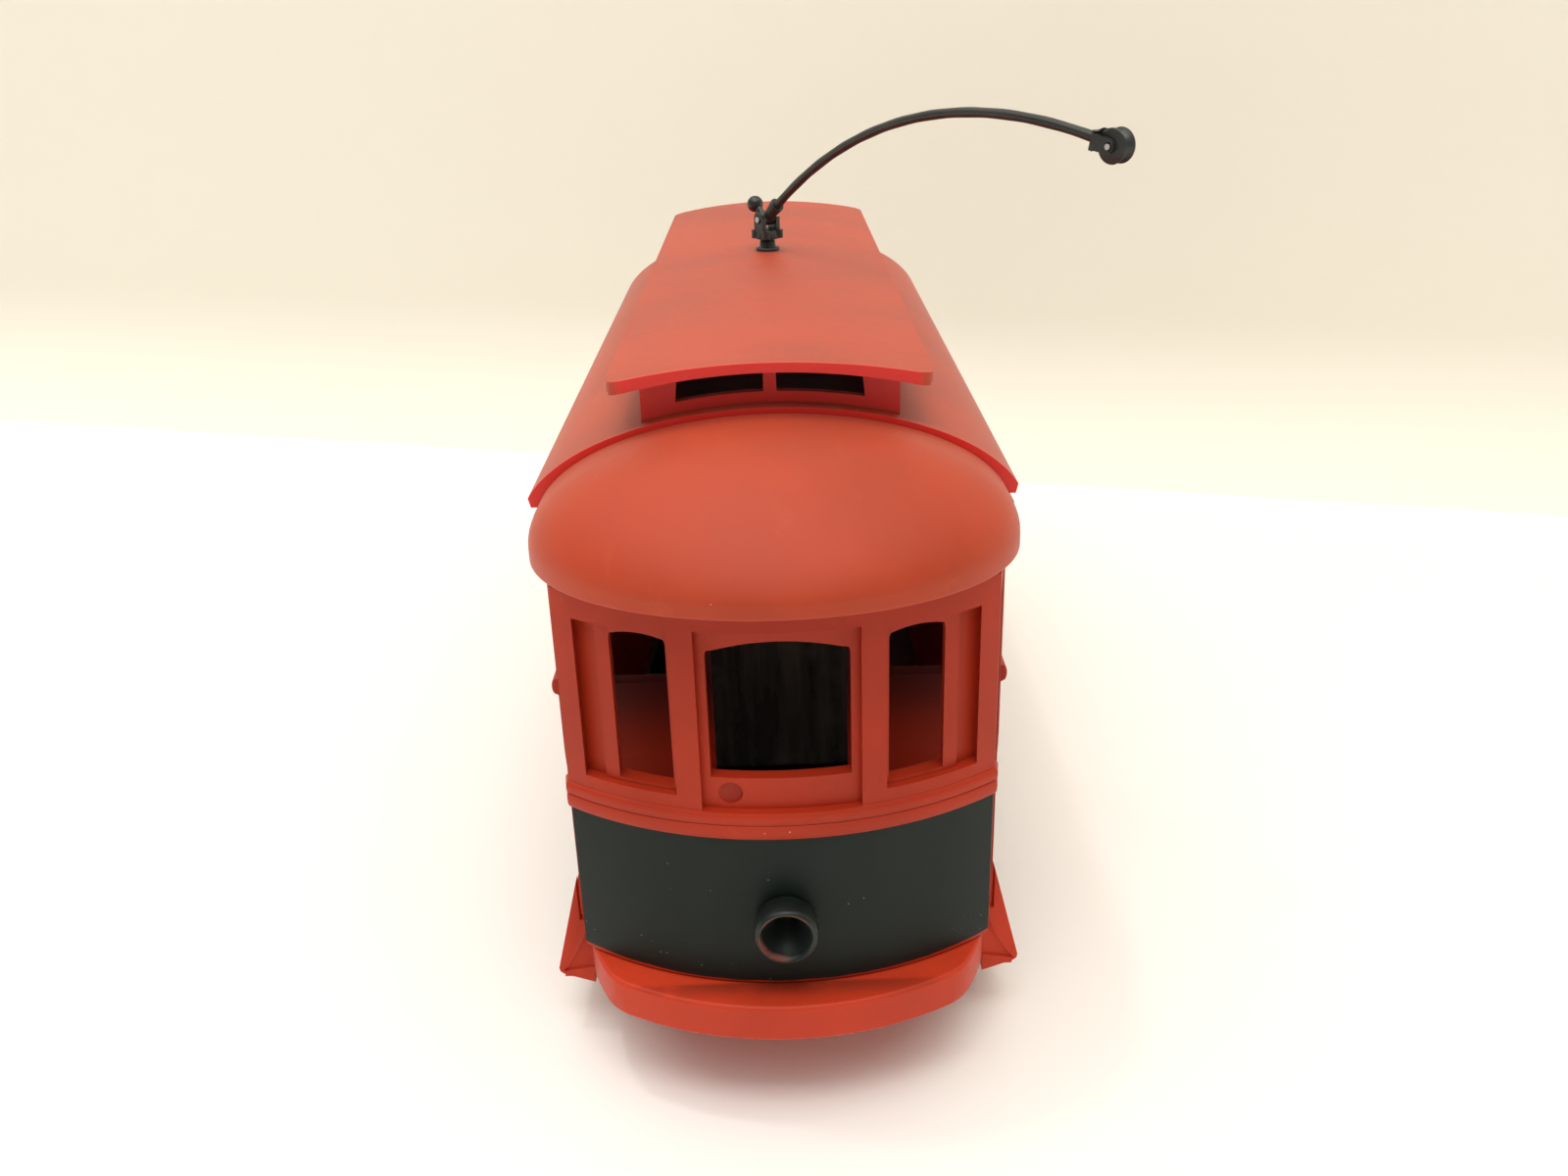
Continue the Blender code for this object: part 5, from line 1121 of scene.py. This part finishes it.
for node in ("chassis", "keeper_plate", "left_side_frame", "right_side_frame"):
    softCopy(node, black, "car")
softCopy("ballast_weight", castBlack, "car")

coils = {"x": 11.75, "y": 5.2, "low": 4.45, "rings": 5, "pitch": 0.55, "radius": 0.86, "wire": 0.17}


def coilTree():
    tree = bpy.data.node_groups.new("coilRings", "GeometryNodeTree")
    tree.interface.new_socket("Geometry", in_out="INPUT", socket_type="NodeSocketGeometry")
    inputs = {"Rings": "Int", "Pitch": "Vector", "Radius": "Float", "Wire": "Float", "Material": "Material"}
    for name, kind in inputs.items():
        tree.interface.new_socket(name, in_out="INPUT", socket_type="NodeSocket" + kind)
    tree.interface.new_socket("Geometry", in_out="OUTPUT", socket_type="NodeSocketGeometry")
    circle, onPoints = "GeometryNodeCurvePrimitiveCircle", "GeometryNodeInstanceOnPoints"
    kinds = {"given": "NodeGroupInput", "line": "GeometryNodeMeshLine", "ring": circle, "round": circle,
             "wire": "GeometryNodeCurveToMesh", "stack": onPoints, "place": onPoints,
             "real": "GeometryNodeRealizeInstances", "finish": "GeometryNodeSetMaterial",
             "made": "NodeGroupOutput"}
    nodes = {name: tree.nodes.new(kind) for name, kind in kinds.items()}
    nodes["ring"].inputs["Resolution"].default_value = 40
    nodes["round"].inputs["Resolution"].default_value = 10
    links = (("given", "Rings", "line", "Count"), ("given", "Pitch", "line", "Offset"),
             ("given", "Radius", "ring", "Radius"), ("given", "Wire", "round", "Radius"),
             ("ring", "Curve", "wire", "Curve"), ("round", "Curve", "wire", "Profile Curve"),
             ("line", "Mesh", "stack", "Points"), ("wire", "Mesh", "stack", "Instance"),
             ("given", "Geometry", "place", "Points"), ("stack", "Instances", "place", "Instance"),
             ("place", "Instances", "real", "Geometry"), ("real", "Geometry", "finish", "Geometry"),
             ("given", "Material", "finish", "Material"), ("finish", "Geometry", "made", "Geometry"))
    for source, out, target, into in links:
        tree.links.new(nodes[source].outputs[out], nodes[target].inputs[into])
    return tree


def makeCoils():
    c = coils
    spots = [(x * c["x"] * mm, y * c["y"] * mm, c["low"] * mm) for x in (-1, 1) for y in (-1, 1)]
    mesh = bpy.data.meshes.new("spring_coils")
    mesh.from_pydata(spots, [], [])
    made = placed("spring_coils", mesh)
    repeat = made.modifiers.new("rings", "NODES")
    repeat.node_group = coilTree()
    values = {"Rings": c["rings"], "Pitch": (0.0, 0.0, c["pitch"] * mm), "Radius": c["radius"] * mm,
              "Wire": c["wire"] * mm, "Material": black}
    for item in repeat.node_group.interface.items_tree:
        if item.in_out == "INPUT" and item.name in values:
            repeat[item.identifier] = values[item.name]
    baked(made)
    smooth(made, 60)
    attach(made, "car")


makeCoils()

screws = [f"{end}_{use}_screw" for end in ("front", "rear") for use in ("keeper", "ballast", "platform")]
kept = ((plated, ("motor_can", "pole_clip", "hinge_pin", "harp_pin", *screws)), (black, ("motor_end_bell",)),
        (steel, ("motor_shaft",)), (ferrite, ("upper_magnet", "lower_magnet")), (coreMetal, ("armature_core",)),
        (bronze, ("commutator", "left_brush", "right_brush", "left_pickup", "right_pickup")),
        (wireBlack, ("left_motor_lead",)), (wireRed, ("right_motor_lead",)))
for material, nodes in kept:
    for node in nodes:
        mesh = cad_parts[node].data
        mesh.materials.clear()
        mesh.materials.append(material)
print("running gear made")


# stage: pale table, cream wall, soft daylight from above

def pale(name, tone, second, scale, rough):
    made = Finish(name)
    cloud = made.noise(scale, 3.0)
    made.feed("Base Color", cloud.above(0.5, 0.3).mix(tone, second))
    made.feed("Roughness", rough + cloud * 0.05)
    made.bump(made.noise(scale * 60, 3.0), 0.05, 0.0002)
    return made.material


stage = {"turn": Vector((0.96, -0.28, 0)).normalized(), "foot": Vector((0, 0.0885, 0)),
         "cove": 0.022, "reach": 2.0}


def sweep(name, profile, material):
    back = Vector((-stage["turn"].y, stage["turn"].x, 0))
    verts = []
    for a, z in profile:
        for side in (-stage["reach"], stage["reach"]):
            verts.append(stage["foot"] + back * a + Vector((0, 0, z)) + stage["turn"] * side)
    mesh = bpy.data.meshes.new(name)
    mesh.from_pydata(verts, [], [(2 * i, 2 * i + 1, 2 * i + 3, 2 * i + 2) for i in range(len(profile) - 1)])
    mesh.shade_smooth()
    placed(name, mesh, material)


cove = stage["cove"]
turn = [math.pi * i / 24 for i in range(13)]
bend = [(cove * (math.sin(a) - 1) + cove * 0.4, cove * (1 - math.cos(a))) for a in turn]
tableWhite = pale("table_white", (0.92, 0.905, 0.86), (0.95, 0.94, 0.90), 6.0, 0.5)
wallCream = pale("wall_cream", (0.91, 0.86, 0.735), (0.94, 0.89, 0.77), 3.0, 0.9)
sweep("table", [(-2.0, 0.0), *bend[:3]], tableWhite)
sweep("wall", [*bend[2:], (bend[-1][0] + 0.02, 2.0)], wallCream)


def lampOver(name, place, aim, size, power, tint):
    data = bpy.data.lights.new(name, "AREA")
    data.shape = "RECTANGLE"
    data.size, data.size_y = size
    data.energy = power
    data.color = tint
    made = placed(name, data)
    made.location = place
    made.rotation_euler = (Vector(aim) - Vector(place)).to_track_quat("-Z", "Y").to_euler()


lampOver("ceiling", (-0.06, -0.06, 0.75), (0.0, -0.02, 0.0), (1.25, 1.1), 7.8, (1.0, 0.98, 0.945))
lampOver("wallWash", (0.0, -0.35, 0.9), (0.0, 0.36, 0.25), (0.5, 0.3), 2.0, (1.0, 0.98, 0.94))
lampOver("bulb", (-0.22, 0.02, 0.9), (0.0, 0.0, 0.04), (0.05, 0.05), 0.7, (1.0, 0.97, 0.92))
world = bpy.data.worlds.new("room")
bpy.context.scene.world = world
world.use_nodes = True
world.node_tree.nodes["Background"].inputs[0].default_value = (1.0, 0.98, 0.95, 1.0)
world.node_tree.nodes["Background"].inputs[1].default_value = 0.31
bpy.context.scene.view_settings.view_transform = "Standard"

view = {"place": (0.0005, -0.11549, 0.06585), "pitch": 0.41, "roll": -0.031, "lens": 30.825}
camera = placed("camera", bpy.data.cameras.new("camera"))
camera.data.lens = view["lens"]
camera.data.sensor_width = 36.0
camera.data.clip_start = 0.005
ahead = Vector((0, math.cos(view["pitch"]), -math.sin(view["pitch"])))
side = Vector((1, 0, 0))
above = side.cross(ahead)
turnedSide = side * math.cos(view["roll"]) + above * math.sin(view["roll"])
turnedUp = -side * math.sin(view["roll"]) + above * math.cos(view["roll"])
turned = Matrix((turnedSide, turnedUp, -ahead)).transposed().to_4x4()
camera.matrix_world = Matrix.Translation(view["place"]) @ turned
bpy.context.scene.camera = camera
print("stage made")
